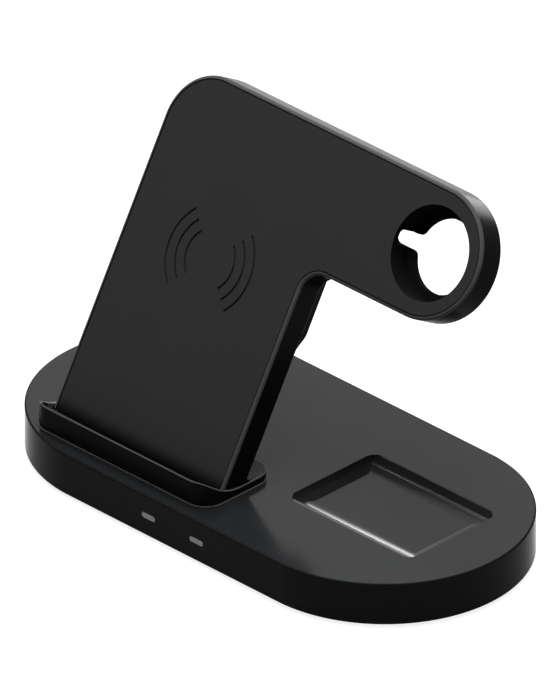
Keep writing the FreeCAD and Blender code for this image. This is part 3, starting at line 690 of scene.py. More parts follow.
def wound_copper(name, colour):
    """Lacquered copper wire, side by side in a flat winding."""
    material, nodes, links = new_material(name)
    shader = nodes["Principled BSDF"]
    shader.inputs["Metallic"].default_value = 1
    shader.inputs["Coat Weight"].default_value = 0.4
    cloud = noise(nodes, links, scale=700, detail=3)
    tint(nodes, links, cloud, colour, change=0.15, socket=shader.inputs["Base Color"])
    vary(nodes, links, cloud, low=0.25, high=0.4, socket=shader.inputs["Roughness"])
    grain(nodes, links, shader, scale=2200, strength=0.4, height=0.05 * MM)
    return material


# Base

def stadium(name, inset, z0, z1):
    """The base's plan as a solid: a round bar whose halves are moved apart."""
    radius = (BASE_HIGH.y - BASE_LOW.y) / 2
    apart = (BASE_HIGH.x - BASE_LOW.x) / 2 - radius
    piece = drum(name, 0, 0, z0, z1, radius - inset, vertices=192)
    for side in (-1, 1):
        into_edit(piece)
        pick(piece, "VERT", lambda point: point.x * side > FIT)
        bpy.ops.transform.translate(value=(side * apart, 0, 0))
        out_of_edit()
    return piece


def cove_space(radius, depth, mouth, inward, along):
    """The space over one side of the tray, which curves down from the mouth to meet the floor level."""
    angle = math.acos(1 - depth / radius)
    handle = radius * math.tan(angle / 4) * 4 / 3
    foot = mouth + inward * radius * math.sin(angle) - UP * depth
    eases = ((inward * math.cos(angle) - UP * math.sin(angle)) * handle, inward * handle)
    reach = BASE_HIGH.y - BASE_LOW.y
    return space_over("cove", (mouth - along * reach / 2, foot - along * reach / 2), eases, inward * reach,
                      UP * 2 * depth, along * reach)


def tray_cutter(sizes):
    """The space of the earbud tray: a shallow dish whose four sides curve down to a level floor."""
    x0, y0 = sizes.tray_low
    x1, y1 = sizes.tray_high
    long_side, short_side = sizes.tray_coves
    depth = sizes.tray_depth
    dish = rounded_slab("tray_space", x0 - FIT, x1 + FIT, y0 - FIT, y1 + FIT, BASE_TOP - depth - SPARE,
                        BASE_TOP + SPARE / 2, sizes.tray_corner)
    x, y = (x0 + x1) / 2, (y0 + y1) / 2
    keep_common(dish, cove_space(long_side, depth, Vector((x, y0, BASE_TOP)), NORTH, EAST),
                cove_space(long_side, depth, Vector((x, y1, BASE_TOP)), -NORTH, EAST),
                cove_space(short_side, depth, Vector((x0, y, BASE_TOP)), EAST, NORTH),
                cove_space(short_side, depth, Vector((x1, y, BASE_TOP)), -EAST, NORTH))
    return dish


def model_base_shell(sizes):
    """The upper moulding of the base, hollow below, with its tray, windows, inlet and bosses."""
    shell = stadium("base_moulding", 0, BASE_UNDER, BASE_TOP)
    bevel_edges(shell, lambda point: near(point.z, BASE_TOP), sizes.edge, segments=3)
    bevel_edges(shell, lambda point: near(point.z, BASE_UNDER), sizes.edge, segments=2)
    hollow = stadium("base_hollow", BASE_WALL, BASE_UNDER - SPARE, SKIN_UNDER)
    low, high = sizes.tray_low, sizes.tray_high
    pad = rounded_slab("tray_pad", low[0] - TRAY_MARGIN, high[0] + TRAY_MARGIN, low[1] - TRAY_MARGIN,
                       high[1] + TRAY_MARGIN, BASE_TOP - sizes.tray_depth - TRAY_PAD, BASE_TOP,
                       sizes.tray_corner)
    bosses = [drum("boss", x, y, PLATE_HIGH.z, BASE_TOP, BOSS_RADIUS, vertices=32) for x, y in BOSS_SPOTS]
    cut(hollow, pad, *bosses)
    cut(shell, hollow, tray_cutter(sizes))
    cut(shell, *[drum("hole", x, y, BASE_UNDER, SCREW_TOP, SCREW_HOLE, vertices=24) for x, y in BOSS_SPOTS])
    width = PIPE_HIGH.x - PIPE_LOW.x + 2 * FIT
    height = PIPE_HIGH.z - PIPE_LOW.z + 2 * FIT
    middle = (PIPE_LOW + PIPE_HIGH) / 2
    for side in (-1, 1):
        cut(shell, pill_along_y("window", side * middle.x, middle.z, width, height,
                                BASE_LOW.y - SPARE, BASE_LOW.y + 2 * BASE_WALL))
    width = SOCKET_HIGH.x - SOCKET_LOW.x + 2 * INLET_MARGIN
    height = SOCKET_HIGH.z - SOCKET_LOW.z + 2 * INLET_MARGIN
    cut(shell, pill_along_y("inlet", 0, (SOCKET_LOW.z + SOCKET_HIGH.z) / 2, width, height,
                            BASE_HIGH.y - 2 * BASE_WALL, BASE_HIGH.y + SPARE))
    cut(shell, tenon_block(FIT))
    ease_edges(shell, BASE_EASE)
    # The rounding lifts the tray's corners a little over the top, so they are put back.
    into_edit(shell)
    pick(shell, "VERT", lambda point: point.z > BASE_TOP)
    bpy.ops.transform.resize(value=(1, 1, 0), center_override=(0, 0, BASE_TOP))
    out_of_edit()
    shade(shell)
    return shell


def paint_tray(shell, sizes, edge, matt):
    """Paints a highlight on the tray's front and right coves as a paler colour, and gives its left one a matt
    finish.
    """
    (x0, y0), (x1, y1) = sizes.tray_low, sizes.tray_high
    floor = BASE_TOP - sizes.tray_depth
    long_cove, short_cove = sizes.tray_coves
    short_width = math.sqrt(short_cove ** 2 - (short_cove - sizes.tray_depth) ** 2)
    highlight_level = floor + long_cove * (1 - math.cos(FRONT_HIGHLIGHT_SLOPE))
    highlight_end = y0 + FRONT_HIGHLIGHT * long_cove

    def in_tray(point):
        return x0 - FIT < point.x < x1 + FIT and y0 - SPARE < point.y < y1 + FIT and point.z > floor - FIT

    paint(shell, matt, lambda point: in_tray(point) and point.x < x0 + short_width + FIT)
    # Painted highlight: the right cove and the upper part of the front cove get the paler edge colour.
    paint(shell, edge, lambda point: in_tray(point) and point.x > x1 - short_width + FIT)
    paint(shell, edge, lambda point: in_tray(point) and point.y < highlight_end and point.z > highlight_level)


def paint_rim(shell, sizes, matt):
    """Gives the round edge of the base's top a matt finish."""
    radius = BASE_HIGH.y
    straight = BASE_HIGH.x - radius

    def on_rim(point):
        depth = radius - math.hypot(max(abs(point.x) - straight, 0), point.y)
        return depth < sizes.edge + FIT and point.z > BASE_TOP - sizes.edge - FIT

    paint(shell, matt, on_rim)


def model_light_pipe(name, node):
    """A light pipe whose window end is crowned a little."""
    low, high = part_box(node)
    middle = (low + high) / 2
    pipe = pill_along_y(name, middle.x, middle.z, high.x - low.x, high.z - low.z, low.y, high.y)
    bevel_edges(pipe, lambda point: near(point.y, low.y), PIPE_CROWN, segments=3)
    shade(pipe)
    return pipe


def model_foot(name, node):
    """A rubber foot with a round shoulder and a shallow ring in its tread."""
    low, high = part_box(node)
    middle = (low + high) / 2
    radius = (high.x - low.x) / 2
    foot = drum(name, middle.x, middle.y, low.z, high.z, radius, vertices=64)
    into_edit(foot)
    pick(foot, "FACE", lambda point: near(point.z, low.z))
    bpy.ops.mesh.inset(thickness=FOOT_RING_MARGIN)
    bpy.ops.mesh.inset(thickness=FOOT_RING_WIDTH, depth=-FOOT_RING_DEPTH)
    out_of_edit()
    ease_edges(foot, FOOT_SHOULDER, segments=3, angle=30)
    return foot


# Ledge

def above_lip(sizes):
    """The space over the ledge: from the lip's crest it sweeps down to the plate round both corners."""
    low, high = LEDGE_LOW, LEDGE_HIGH
    crest = Vector((low.x - SPARE, low.y + sizes.lip_level, high.z))
    foot = Vector((low.x - SPARE, low.y + sizes.lip_sweep, LEDGE_TOP))
    eases = [Vector((0, ease, 0)) for ease in sizes.lip_ease]
    return space_over("above_lip", (crest, foot), eases, Vector((0, high.y + SPARE - foot.y, 0)), UP * high.z,
                      Vector((high.x - low.x + 2 * SPARE, 0, 0)))


def ledge_depth(sizes, point):
    """How far a point lies within the ledge's outline from its front and sides."""
    corner = sizes.corner
    x = max(LEDGE_LOW.x + corner - point.x, point.x - LEDGE_HIGH.x + corner, 0)
    y = max(LEDGE_LOW.y + corner - point.y, 0)
    return corner - math.hypot(x, y)


def model_ledge(sizes, satin, edge, painted_shade):
    """The ledge plate with the bead round its foot and its lip, which sweeps down round both corners."""
    low, high = LEDGE_LOW, LEDGE_HIGH
    wall, bead, corner = sizes.lip_thickness, sizes.bead, sizes.corner
    ledge = rounded_slab("ledge_moulding", low.x, high.x, low.y, high.y, low.z - SPARE, high.z, corner,
                         segments=16)
    wear(ledge, satin, edge, painted_shade)
    inner = rounded_slab("behind_lip", low.x + wall, high.x - wall, low.y + wall, high.y + corner, LEDGE_TOP,
                         high.z + SPARE, corner - wall, segments=16)
    cut(ledge, inner, above_lip(sizes), tenon_block(FIT))
    # The ledge's rounded edges take the paler edge colour, a painted highlight.
    ease_edges(ledge, sizes.edge, segments=3, angle=35, finish=edge)
    foot = rounded_slab("ledge_bead", low.x - bead, high.x + bead, low.y - bead, high.y + bead,
                        low.z - SPARE / 2, low.z + bead, corner + bead, segments=16)
    wear(foot, satin, edge)
    # The bead's rounded top takes the paler edge colour, a painted highlight.
    bevel_edges(foot, lambda point: near(point.z, low.z + bead), BEAD_ROUND * bead, segments=3, finish=edge)
    cut(foot, tenon_block(FIT))
    unite(ledge, foot)
    cut_level(ledge, low.z)
    return ledge


def paint_ledge(ledge, sizes, stand, satin, edge, painted_shade):
    """Paints shade into the trough behind the lip as a darker black; the lip's left return is satin outside
    and has the paler edge colour, a painted highlight, inside.
    """
    slope_run = (LEDGE_TOP - BASE_TOP) * math.tan(STAND_LEAN)
    rear = STAND_FOOT.y + slope_run + stand.thickness / math.cos(STAND_LEAN)
    return_x, return_y = LEDGE_LOW.x + sizes.corner, LEDGE_LOW.y + sizes.corner / 3

    def behind_lip(point, level):
        return point.z > level and ledge_depth(sizes, point) > sizes.lip_thickness / 2

    def in_trough(point):
        by_stand = point.x > stand.left - FIT and point.y < rear + FIT
        return by_stand and (behind_lip(point, LEDGE_TOP) or near(point.z, LEDGE_TOP))

    paint(ledge, satin, lambda point: point.x < return_x and point.y > return_y)
    bisect(ledge, NORTH * rear, NORTH)
    bisect(ledge, EAST * stand.left, EAST)
    shade(ledge)
    # Painted shade: the trough behind the lip gets a darker copy of the ledge's black.
    paint(ledge, painted_shade, in_trough)
    # Painted highlight: the inside of the lip's left return gets the paler edge colour.
    paint(ledge, edge, lambda point: point.x < stand.left + FIT and behind_lip(point, LEDGE_TOP - FIT))


# Stand

def stand_slab(name, sizes, inset, low, front, back):
    """The stand's L-shaped outline, drawn in by an inset, as a slab between two depths."""
    left, right = sizes.left + inset, sizes.right - inset
    top, under, reach = sizes.top - inset, sizes.arm_under + inset, sizes.arm_reach - inset
    piece = rectangle(name, left, right, low, top, front)
    bisect(piece, NORTH * under, NORTH)
    into_edit(piece)
    pick(piece, "EDGE", lambda point: near(point.x, right) and point.y > under - FIT)
    bpy.ops.mesh.extrude_region_move(TRANSFORM_OT_translate={"value": (reach - right, 0, 0)})
    bpy.ops.mesh.select_all(action="SELECT")
    bpy.ops.mesh.dissolve_limited(angle_limit=math.radians(1))
    out_of_edit()
    arm_end = (top - under) / 2
    round_corners(piece, sizes.corner - inset,
                  lambda point: near(point.x, left) and near(point.y, top), segments=24)
    round_corners(piece, sizes.notch + inset,
                  lambda point: near(point.x, right) and near(point.y, under), segments=12)
    round_corners(piece, arm_end - FIT, lambda point: near(point.x, reach), segments=32)
    raise_face(piece, (0, 0, back - front))
    return piece


def keyhole(sizes, seat_v, back):
    """The hole behind the watch seat, the slot for the watch lead and the flare between the two."""
    x, round_by = sizes.seat_x, sizes.slot_round
    half = sizes.slot / 2
    low, high = back - SPARE, -sizes.panel_set
    hole = drum("push_out", x, seat_v, low, high, sizes.through, vertices=96)
    slot = rounded_slab("slot", x - sizes.slot_reach, x, seat_v - half, seat_v + half, low, high,
                        half - END_FLAT, segments=12)
    roof = rounded_slab("slot_roof", sizes.panel + SLOT_ROOF_SET, SPARE - low, seat_v - half, seat_v + half,
                        x - sizes.slot_reach - SPARE, x + SPARE, SLOT_ROOF_ROUND, segments=8)
    roof.rotation_euler = (0, math.pi / 2, 0)
    settle(roof)
    keep_common(slot, roof)
    reach = sizes.through + round_by
    flare_x = x - math.sqrt(reach ** 2 - (half + round_by) ** 2)
    flare_half = (half + round_by) * sizes.through / reach
    flare = rectangle("flare", flare_x, x - sizes.through / 2, seat_v - flare_half, seat_v + flare_half, low)
    raise_face(flare, (0, 0, high - low))
    for side in (-1, 1):
        cut(flare, drum("flare_round", flare_x, seat_v + side * (half + round_by), low - SPARE, high + SPARE,
                        round_by, vertices=48))
    return hole, slot, flare


def seat_middle(sizes):
    """The middle of the watch seat, up the slope."""
    return (sizes.top + sizes.arm_under) / 2


def in_seat(sizes, point):
    """Whether a point of the upright stand lies on the watch seat's wall or inside it."""
    middle = Vector((sizes.seat_x, seat_middle(sizes)))
    return (point.to_2d() - middle).length < sizes.seat + LINING_REACH


def in_slot(sizes, point):
    """Whether a point of the upright stand lies on the lead slot's wall or inside it."""
    along = sizes.seat_x - point.x
    across = abs(point.y - seat_middle(sizes))
    return 0 < along < sizes.slot_reach + LINING_REACH and across < sizes.slot / 2 + LINING_REACH


def tenon_block(grow):
    """The block under the stand that passes the ledge and the base's top."""
    x0, x1, y0, y1 = TENON
    block = rectangle("tenon", x0 - grow, x1 + grow, y0 - grow, y1 + grow, SKIN_UNDER - grow)
    raise_face(block, (0, 0, LEDGE_TOP - SKIN_UNDER + 2 * grow))
    return block


def tenon_holes(x_middle, grow):
    """The holes for the anchor screws and the harness."""
    y_middle = (TENON[2] + TENON[3]) / 2
    low, top = SKIN_UNDER - SPARE, SKIN_UNDER + ANCHOR_SCREW_LENGTH
    holes = [drum("anchor_hole", x, y_middle, low, top, SCREW_HOLE + grow, vertices=24)
             for x in ANCHOR_SCREW_X]
    holes.append(drum("harness_hole", x_middle, HARNESS_Y, low, HARNESS_TOP, HARNESS_HOLE + grow,
                      vertices=32))
    return holes


def model_stand_shell(sizes, satin, rim, lining):
    """The leaning housing: rim with a painted highlight, panel pocket, coil space, matt watch seat and tenon.
    """
    back = -sizes.thickness
    pocket_floor = -sizes.panel_set - sizes.panel
    space_back = back + STAND_BACK
    seat_v = seat_middle(sizes)
    half = sizes.slot / 2 + SEAT_WALL
    shell = stand_slab("stand_moulding", sizes, 0, STAND_LOW, 0, back)
    wear(shell, satin, rim, lining)
    # The rim's bevel takes the paler edge colour, a painted highlight.
    bevel_edges(shell, lambda point: near(point.z, 0), sizes.bevel, segments=4, finish=rim)
    bevel_edges(shell, lambda point: near(point.z, back), STAND_BACK_EDGE, segments=3)
    space = stand_slab("coil_space", sizes, STAND_WALL, CAVITY_LOW, pocket_floor + SPARE / 2, space_back)
    seat_wall = drum("seat_wall", sizes.seat_x, seat_v, back, 0, sizes.seat + SEAT_WALL, vertices=96)
    slot_wall = rounded_slab("slot_wall", sizes.seat_x - sizes.slot_reach - SEAT_WALL, sizes.seat_x,
                             seat_v - half, seat_v + half, back, 0, half - END_FLAT)
    cut(space, seat_wall, slot_wall)
    pocket = stand_slab("panel_pocket", sizes, sizes.rim, STAND_LOW - SPARE, SPARE, pocket_floor)
    seat = drum("seat", sizes.seat_x, seat_v, space_back, SPARE, sizes.seat, vertices=128)
    cut(shell, space, pocket, seat, *keyhole(sizes, seat_v, back))
    ease_edges(shell, STAND_EASE)
    paint(shell, lining, lambda point: in_seat(sizes, point) or in_slot(sizes, point))
    lean(shell)
    cut_level(shell, LEDGE_TOP)
    x_middle = (sizes.left + sizes.right) / 2
    cut(shell, *tenon_holes(x_middle, grow=0))
    block = tenon_block(grow=0)
    cut(block, *tenon_holes(x_middle, FIT))
    unite(shell, block)
    shade(shell)
    return shell


def arc_cutter(sizes, middle, radius, start):
    """One groove of the charging mark, swept round the mark's middle."""
    face = -sizes.panel_set
    half = sizes.arc_width / 2
    section = rectangle("groove", -half, half, -sizes.arc_depth, sizes.arc_depth, 0)
    section.rotation_euler = (math.pi / 2, 0, start)
    section.location = middle + Vector((math.cos(start) * radius, math.sin(start) * radius, face))
    settle(section)
    into_edit(section)
    bpy.ops.mesh.select_all(action="SELECT")
    bpy.ops.mesh.spin(steps=32, angle=2 * sizes.arc_half_angle, center=middle, axis=(0, 0, 1))
    bpy.ops.mesh.select_all(action="SELECT")
    bpy.ops.mesh.remove_doubles(threshold=SLIVER)
    bpy.ops.mesh.normals_make_consistent(inside=False)
    out_of_edit()
    return section


def model_front_panel(sizes, soft, lining):
    """The panel the phone leans on, with the watch hole and the charging mark."""
    face = -sizes.panel_set
    panel = stand_slab("front_panel", sizes, sizes.rim + sizes.seam, STAND_LOW, face, face - sizes.panel)
    seat_v = seat_middle(sizes)
    cut(panel, drum("watch_hole", sizes.seat_x, seat_v, face - sizes.panel - SPARE, SPARE, sizes.seat,
                    vertices=128))
    ease_edges(panel, PANEL_EASE)
    wear(panel, soft, lining)
    paint(panel, lining, lambda point: in_seat(sizes, point))
    middle = Vector(((sizes.left + sizes.right) / 2, sizes.arc_v, 0))
    for radius in sizes.arc_radii:
        for side in (0, math.pi):
            cut(panel, arc_cutter(sizes, middle, radius, side + sizes.arc_half_angle))
    lean(panel)
    cut_level(panel, LEDGE_TOP)
    shade(panel)
    return panel


def cover_form(name, stand, sizes, inset, depth):
    """The cover's tapered form: a rounded face on the stand's back and a smaller one behind it."""
    back = -stand.thickness
    left, right = stand.left + sizes.margin + inset, stand.right - sizes.margin - inset
    low, high = sizes.low + inset, sizes.high - inset
    piece = rectangle(name, left, right, low, high, back)
    round_corners(piece, sizes.corner - inset / 2, lambda point: True, segments=10)
    raise_face(piece, (0, 0, -depth))
    narrower = 1 - 2 * sizes.slope / (right - left)
    shorter = 1 - (sizes.slope + sizes.low_slope) / (high - low)
    middle = ((left + right) / 2, (low + high) / 2, 0)
    into_edit(piece)
    pick(piece, "FACE", lambda point: near(point.z, back - depth))
    bpy.ops.transform.resize(value=(narrower, shorter, 1), center_override=middle)
    bpy.ops.transform.translate(value=(0, (sizes.low_slope - sizes.slope) / 2, 0))
    out_of_edit()
    return piece


def model_cable_cover(stand, sizes):
    """The hollow pod on the back of the stand, with its screw bosses and lead notch."""
    back = -stand.thickness
    rear = back - sizes.depth
    middle = (stand.left + stand.right) / 2
    cover = cover_form("cable_pod", stand, sizes, 0, sizes.depth)
    bevel_edges(cover, lambda point: near(point.z, rear), COVER_EDGE, segments=4)
    hollow = cover_form("pod_space", stand, sizes, sizes.wall, sizes.depth - sizes.wall)
    cut(hollow, *[drum("boss", middle, v, rear, back + SPARE, BOSS_RADIUS, vertices=32)
                  for v in COVER_SCREWS])
    hollow.location.z = FIT
    settle(hollow)
    cut(cover, hollow)
    seat_v = seat_middle(stand)
    right = stand.right - sizes.margin
    notch = rectangle("notch", right - LEAD_NOTCH, right + SPARE, seat_v - stand.slot / 2,
                      seat_v + stand.slot / 2, back + SPARE)
    raise_face(notch, (0, 0, -stand.slot - SPARE))
    cut(cover, notch)
    for v in COVER_SCREWS:
        cut(cover, drum("screw_hole", middle, v, rear - SPARE, back + SPARE, COVER_SCREW_HOLE, vertices=24),
            drum("head_hole", middle, v, rear - SPARE, rear + COVER_HEAD_DEPTH, COVER_HEAD_HOLE, vertices=32))
    ease_edges(cover, COVER_EASE)
    lean(cover)
    return cover


# Stage

CAMERA_LENS = 1200
CAMERA_SENSOR = 36
CAMERA_DISTANCE = 7.075
CAMERA_AIM = Vector((0.00013, 0.00013, 0.05163))
CAMERA_AZIMUTH = math.radians(45)
CAMERA_ELEVATION = math.radians(30)
CAMERA_CLIP = (0.1, 40)
FLOOR_SIZE = 60
FLOOR_GREY = (0.3, 0.3, 0.3, 1)
FLOOR_GLOW = 0.85
SURROUND_ON_OBJECT, SURROUND_SEEN = 0.1, 1.0
WHITE = (1, 1, 1, 1)

# Name, place, aim, width, height and power of each soft light.
LIGHTS = (
    ("overhead", (0, 0, 0.9), (0, 0, 0), 0.5, 0.5, 8),
    ("rear_box", (-1.1, 1.1, 0.9), (0, 0, 0.05), 0.9, 0.66, 7.2),
    ("rear_strip", (-0.68, 1.45, 0.28), (0, 0, 0.05), 1.3, 0.5, 36),
    ("left_strip", (-1.3, 1.02, 0.42), (0, 0, 0.05), 0.5, 0.75, 4.5),
    ("high_strip", (-0.98, 0.35, 1.22), (0, 0, 0.02), 0.16, 0.4, 9),
)


def background_rays(nodes, links):
    """1 where the camera, a reflection or clear material looks, and 0 for light on surfaces."""
    path = nodes.new("ShaderNodeLightPath")
    total = path.outputs["Is Camera Ray"]
    for ray in ("Is Glossy Ray", "Is Transmission Ray"):
        either = nodes.new("ShaderNodeMath")
        either.operation = "MAXIMUM"
        links.new(total, either.inputs[0])
        links.new(path.outputs[ray], either.inputs[1])
        total = either.outputs["Value"]
    return total


def build_floor():
    """A wide pale floor that shows as white and keeps a faint shadow."""
    deselect()
    bpy.ops.mesh.primitive_plane_add(size=FLOOR_SIZE, location=(0, 0, 0))
    floor = bpy.context.object
    floor.name = "studio_floor"
    material, nodes, links = new_material("pale_floor")
    shader = nodes["Principled BSDF"]
    shader.inputs["Base Color"].default_value = FLOOR_GREY
    shader.inputs["Roughness"].default_value = 0.9
    shader.inputs["Specular IOR Level"].default_value = 0
    glow = nodes.new("ShaderNodeMapRange")
    glow.inputs["To Max"].default_value = FLOOR_GLOW
    links.new(background_rays(nodes, links), glow.inputs["Value"])
    links.new(glow.outputs["Result"], shader.inputs["Emission Strength"])
    shader.inputs["Emission Color"].default_value = WHITE
    floor.data.materials.append(material)


def build_world(scene):
    """A white surround that lights the object only a little."""
    world = bpy.data.worlds.new("studio_surround")
    world.use_nodes = True
    nodes, links = world.node_tree.nodes, world.node_tree.links
    background = nodes["Background"]
    background.inputs["Color"].default_value = WHITE
    strength = nodes.new("ShaderNodeMapRange")
    strength.inputs["To Min"].default_value = SURROUND_ON_OBJECT
    strength.inputs["To Max"].default_value = SURROUND_SEEN
    links.new(background_rays(nodes, links), strength.inputs["Value"])
    links.new(strength.outputs["Result"], background.inputs["Strength"])
    scene.world = world


def soft_light(name, place, aim, width, height, power):
    """A large soft light turned to a point."""
    light = bpy.data.lights.new(name, "AREA")
    light.shape = "RECTANGLE"
    light.size = width
    light.size_y = height
    light.energy = power
    lamp = bpy.data.objects.new(name, light)
    lamp.location = place
    lamp.rotation_euler = (Vector(aim) - Vector(place)).to_track_quat("-Z", "Y").to_euler()
    bpy.context.scene.collection.objects.link(lamp)


def build_camera(scene):
    """A long lens at the photo's angle."""
    back = Vector((math.sin(CAMERA_AZIMUTH) * math.cos(CAMERA_ELEVATION),
                   -math.cos(CAMERA_AZIMUTH) * math.cos(CAMERA_ELEVATION), math.sin(CAMERA_ELEVATION)))
    data = bpy.data.cameras.new("long_lens")
    data.lens = CAMERA_LENS
    data.sensor_width = CAMERA_SENSOR
    data.clip_start, data.clip_end = CAMERA_CLIP
    camera = bpy.data.objects.new("long_lens", data)
    camera.location = CAMERA_AIM + back * CAMERA_DISTANCE
    camera.rotation_euler = (-back).to_track_quat("-Z", "Y").to_euler()
    scene.collection.objects.link(camera)
    scene.camera = camera


# Operators

class BuildBase(bpy.types.Operator):
    """Models the base moulding"""

    bl_idname = "charger.build_base"
    bl_label = "Base Moulding"

    def execute(self, context):
        sizes, finishes = context.scene.charger_base, context.scene.charger_finishes
        shell = model_base_shell(sizes)
        satin = moulded_plastic("base_satin", finishes.base, BASE_GLOSS)
        satin.node_tree.nodes["Principled BSDF"].inputs["Specular Tint"].default_value = COOL_GLOSS
        # The paler edge colour on the tray's coves is a painted highlight.
        edge = moulded_plastic("tray_painted_highlight", finishes.edge, EDGE_GLOSS)
        matt = moulded_plastic("tray_matt", finishes.base, MATT_GLOSS)
        wear(shell, satin, edge, matt)
        paint_tray(shell, sizes, edge, matt)
        paint_rim(shell, sizes, matt)
        dress(shell, "base_plastic", "base_shell")
        return {"FINISHED"}


class BuildLightPipes(bpy.types.Operator):
    """Models the two indicator windows' light pipes"""

    bl_idname = "charger.build_light_pipes"
    bl_label = "Light Pipes"

    def execute(self, context):
        finish = frosted_pipe("frosted_window", context.scene.charger_finishes.pipe)
        for side in ("left", "right"):
            node = "led_light_pipe_" + side
            pipe = model_light_pipe("window_" + side, node)
            wear(pipe, finish)
            dress(pipe, "light_pipe", node)
        return {"FINISHED"}


class BuildFeet(bpy.types.Operator):
    """Models the four rubber feet"""

    bl_idname = "charger.build_feet"
    bl_label = "Rubber Feet"

    def execute(self, context):
        finish = soft_rubber("foot_rubber", context.scene.charger_finishes.rubber)
        for corner in ("front_left", "front_right", "rear_left", "rear_right"):
            node = "rubber_foot_" + corner
            foot = model_foot("foot_" + corner, node)
            wear(foot, finish)
            dress(foot, "foot_rubber", node)
        return {"FINISHED"}


class BuildLedge(bpy.types.Operator):
    """Models the phone ledge and its lip"""

    bl_idname = "charger.build_ledge"
    bl_label = "Phone Ledge"

    def execute(self, context):
        sizes, finishes = context.scene.charger_ledge, context.scene.charger_finishes
        satin = moulded_plastic("ledge_satin", finishes.ledge, LEDGE_GLOSS)
        # The ledge's paler edge colour is a painted highlight.
        edge = moulded_plastic("ledge_painted_highlight", finishes.edge, EDGE_GLOSS)
        # A darker copy of the ledge's black, a painted shade for the trough behind the lip.
        painted_shade = moulded_plastic("trough_painted_shade", [part * TROUGH_SHADE for part in finishes.ledge], MATT_GLOSS)
        ledge = model_ledge(sizes, satin, edge, painted_shade)
        paint_ledge(ledge, sizes, context.scene.charger_stand, satin, edge, painted_shade)
        dress(ledge, "ledge_plastic", "phone_ledge")
        return {"FINISHED"}


class BuildStand(bpy.types.Operator):
    """Models the stand's housing and its front panel"""

    bl_idname = "charger.build_stand"
    bl_label = "Stand"

    def execute(self, context):
        sizes, finishes = context.scene.charger_stand, context.scene.charger_finishes
        satin = moulded_plastic("stand_satin", finishes.stand, STAND_GLOSS)
        # The rim's paler edge colour is a painted highlight.
        rim = moulded_plastic("stand_rim_painted_highlight", finishes.edge, EDGE_GLOSS)
        lining = moulded_plastic("seat_lining", finishes.stand, LINING_GLOSS)
        dress(model_stand_shell(sizes, satin, rim, lining), "stand_plastic", "stand_shell")
        soft = moulded_plastic("panel_soft", finishes.panel, PANEL_GLOSS)
        # Painted shade: the panel darkens towards its foot in the trough behind the lip.
        dim_foot(soft, LEDGE_TOP, LEDGE_TOP + TROUGH, TROUGH_SHADE)
        dress(model_front_panel(sizes, soft, lining), "panel_plastic", "stand_front_panel")
        return {"FINISHED"}


class BuildCableCover(bpy.types.Operator):
    """Models the cable cover on the back of the stand"""

    bl_idname = "charger.build_cable_cover"
    bl_label = "Cable Cover"

    def execute(self, context):
        scene = context.scene
        cover = model_cable_cover(scene.charger_stand, scene.charger_cover)
        wear(cover, moulded_plastic("cover_satin", scene.charger_finishes.stand, COVER_GLOSS))
        dress(cover, "cover_plastic", "cable_cover")
        return {"FINISHED"}


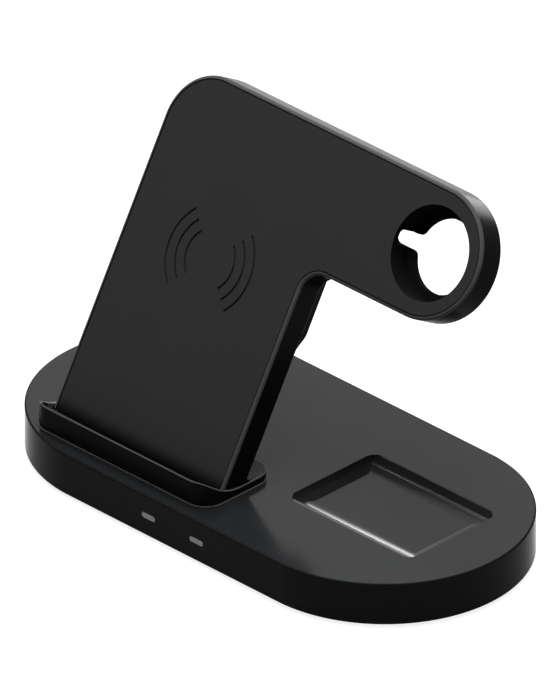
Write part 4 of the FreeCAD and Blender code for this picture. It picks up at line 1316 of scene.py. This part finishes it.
class FinishInnerPieces(bpy.types.Operator):
    """Gives the pieces that keep their CAD form their finishes"""

    bl_idname = "charger.finish_inner_pieces"
    bl_label = "Inner Pieces"

    def execute(self, context):
        finishes = context.scene.charger_finishes
        steel = plain_metal("black_screw_steel", (0.2, 0.2, 0.21), roughness=0.4)
        sheet = plain_metal("zinc_sheet", (0.55, 0.56, 0.58), roughness=0.35, stretch=(1, 12, 1))
        nickel = plain_metal("nickel_sheet", (0.65, 0.63, 0.6), roughness=0.25, stretch=(1, 8, 1))
        copper = wound_copper("coil_copper", (0.72, 0.36, 0.18))
        sinter = moulded_plastic("ferrite_sinter", (0.05, 0.05, 0.055), (0.7, 0.3), texture=1800, relief=0.4)
        board = moulded_plastic("solder_mask", (0.01, 0.09, 0.04), (0.3, 0.5), texture=1200, relief=0.1)
        black = moulded_plastic("component_black", (0.02, 0.02, 0.02), (0.5, 0.3))
        grey = moulded_plastic("carrier_grey", (0.45, 0.45, 0.43), (0.5, 0.4))
        jacket = soft_rubber("harness_jacket", (0.03, 0.03, 0.03))
        lamp = frosted_pipe("lamp_yellow", (0.8, 0.75, 0.45))
        plate = moulded_plastic("plate_satin", finishes.base, PLATE_GLOSS)
        wears = {
            "base_plate": plate, "base_screws": steel, "ballast_plate": sheet, "main_board": board,
            "board_screws": steel, "board_components": black, "indicator_leds": lamp,
            "inlet_socket_shell": nickel, "inlet_socket_tongue": black, "earbud_coil": copper,
            "earbud_ferrite": sinter, "cover_screws": steel, "phone_coil_upper": copper,
            "phone_coil_lower": copper, "phone_ferrite": sinter, "coil_carrier": grey,
            "carrier_screws": steel, "anchor_plate": sheet, "anchor_screws": steel, "stand_harness": jacket,
        }
        for node, material in wears.items():
            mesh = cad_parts[node].data
            mesh.materials.clear()
            mesh.materials.append(material)
        return {"FINISHED"}


class BuildStage(bpy.types.Operator):
    """Sets the pale floor, the soft lights and the camera"""

    bl_idname = "charger.build_stage"
    bl_label = "Stage"

    def execute(self, context):
        build_floor()
        build_world(context.scene)
        for light in LIGHTS:
            soft_light(*light)
        build_camera(context.scene)
        context.scene.view_settings.view_transform = "Standard"
        return {"FINISHED"}


# Panel and registration

class ChargerPanel(bpy.types.Panel):
    """Lists the charger's pieces and sizes"""

    bl_idname = "VIEW3D_PT_charger"
    bl_label = "Desk Charger"
    bl_space_type = "VIEW_3D"
    bl_region_type = "UI"
    bl_category = "Charger"

    def draw(self, context):
        for operator in OPERATORS:
            self.layout.operator(operator.bl_idname)
        for name in GROUPS:
            group = getattr(context.scene, name)
            for prop in group.bl_rna.properties:
                if prop.identifier not in ("rna_type", "name"):
                    self.layout.prop(group, prop.identifier)


GROUPS = {
    "charger_base": ChargerBaseSizes,
    "charger_ledge": ChargerLedgeSizes,
    "charger_stand": ChargerStandSizes,
    "charger_cover": ChargerCoverSizes,
    "charger_finishes": ChargerFinishes,
}
OPERATORS = (BuildStage, BuildBase, BuildLightPipes, BuildFeet, BuildLedge, BuildStand, BuildCableCover,
             FinishInnerPieces)
CLASSES = tuple(GROUPS.values()) + OPERATORS + (ChargerPanel,)


def register():
    for entry in CLASSES:
        bpy.utils.register_class(entry)
    for name, group in GROUPS.items():
        setattr(bpy.types.Scene, name, bpy.props.PointerProperty(type=group))


def unregister():
    for name in GROUPS:
        delattr(bpy.types.Scene, name)
    for entry in reversed(CLASSES):
        bpy.utils.unregister_class(entry)


def main():
    register()
    bpy.ops.charger.build_stage()
    bpy.ops.charger.build_base()
    bpy.ops.charger.build_light_pipes()
    bpy.ops.charger.build_feet()
    bpy.ops.charger.build_ledge()
    bpy.ops.charger.build_stand()
    bpy.ops.charger.build_cable_cover()
    bpy.ops.charger.finish_inner_pieces()


if __name__ == "__main__":
    main()
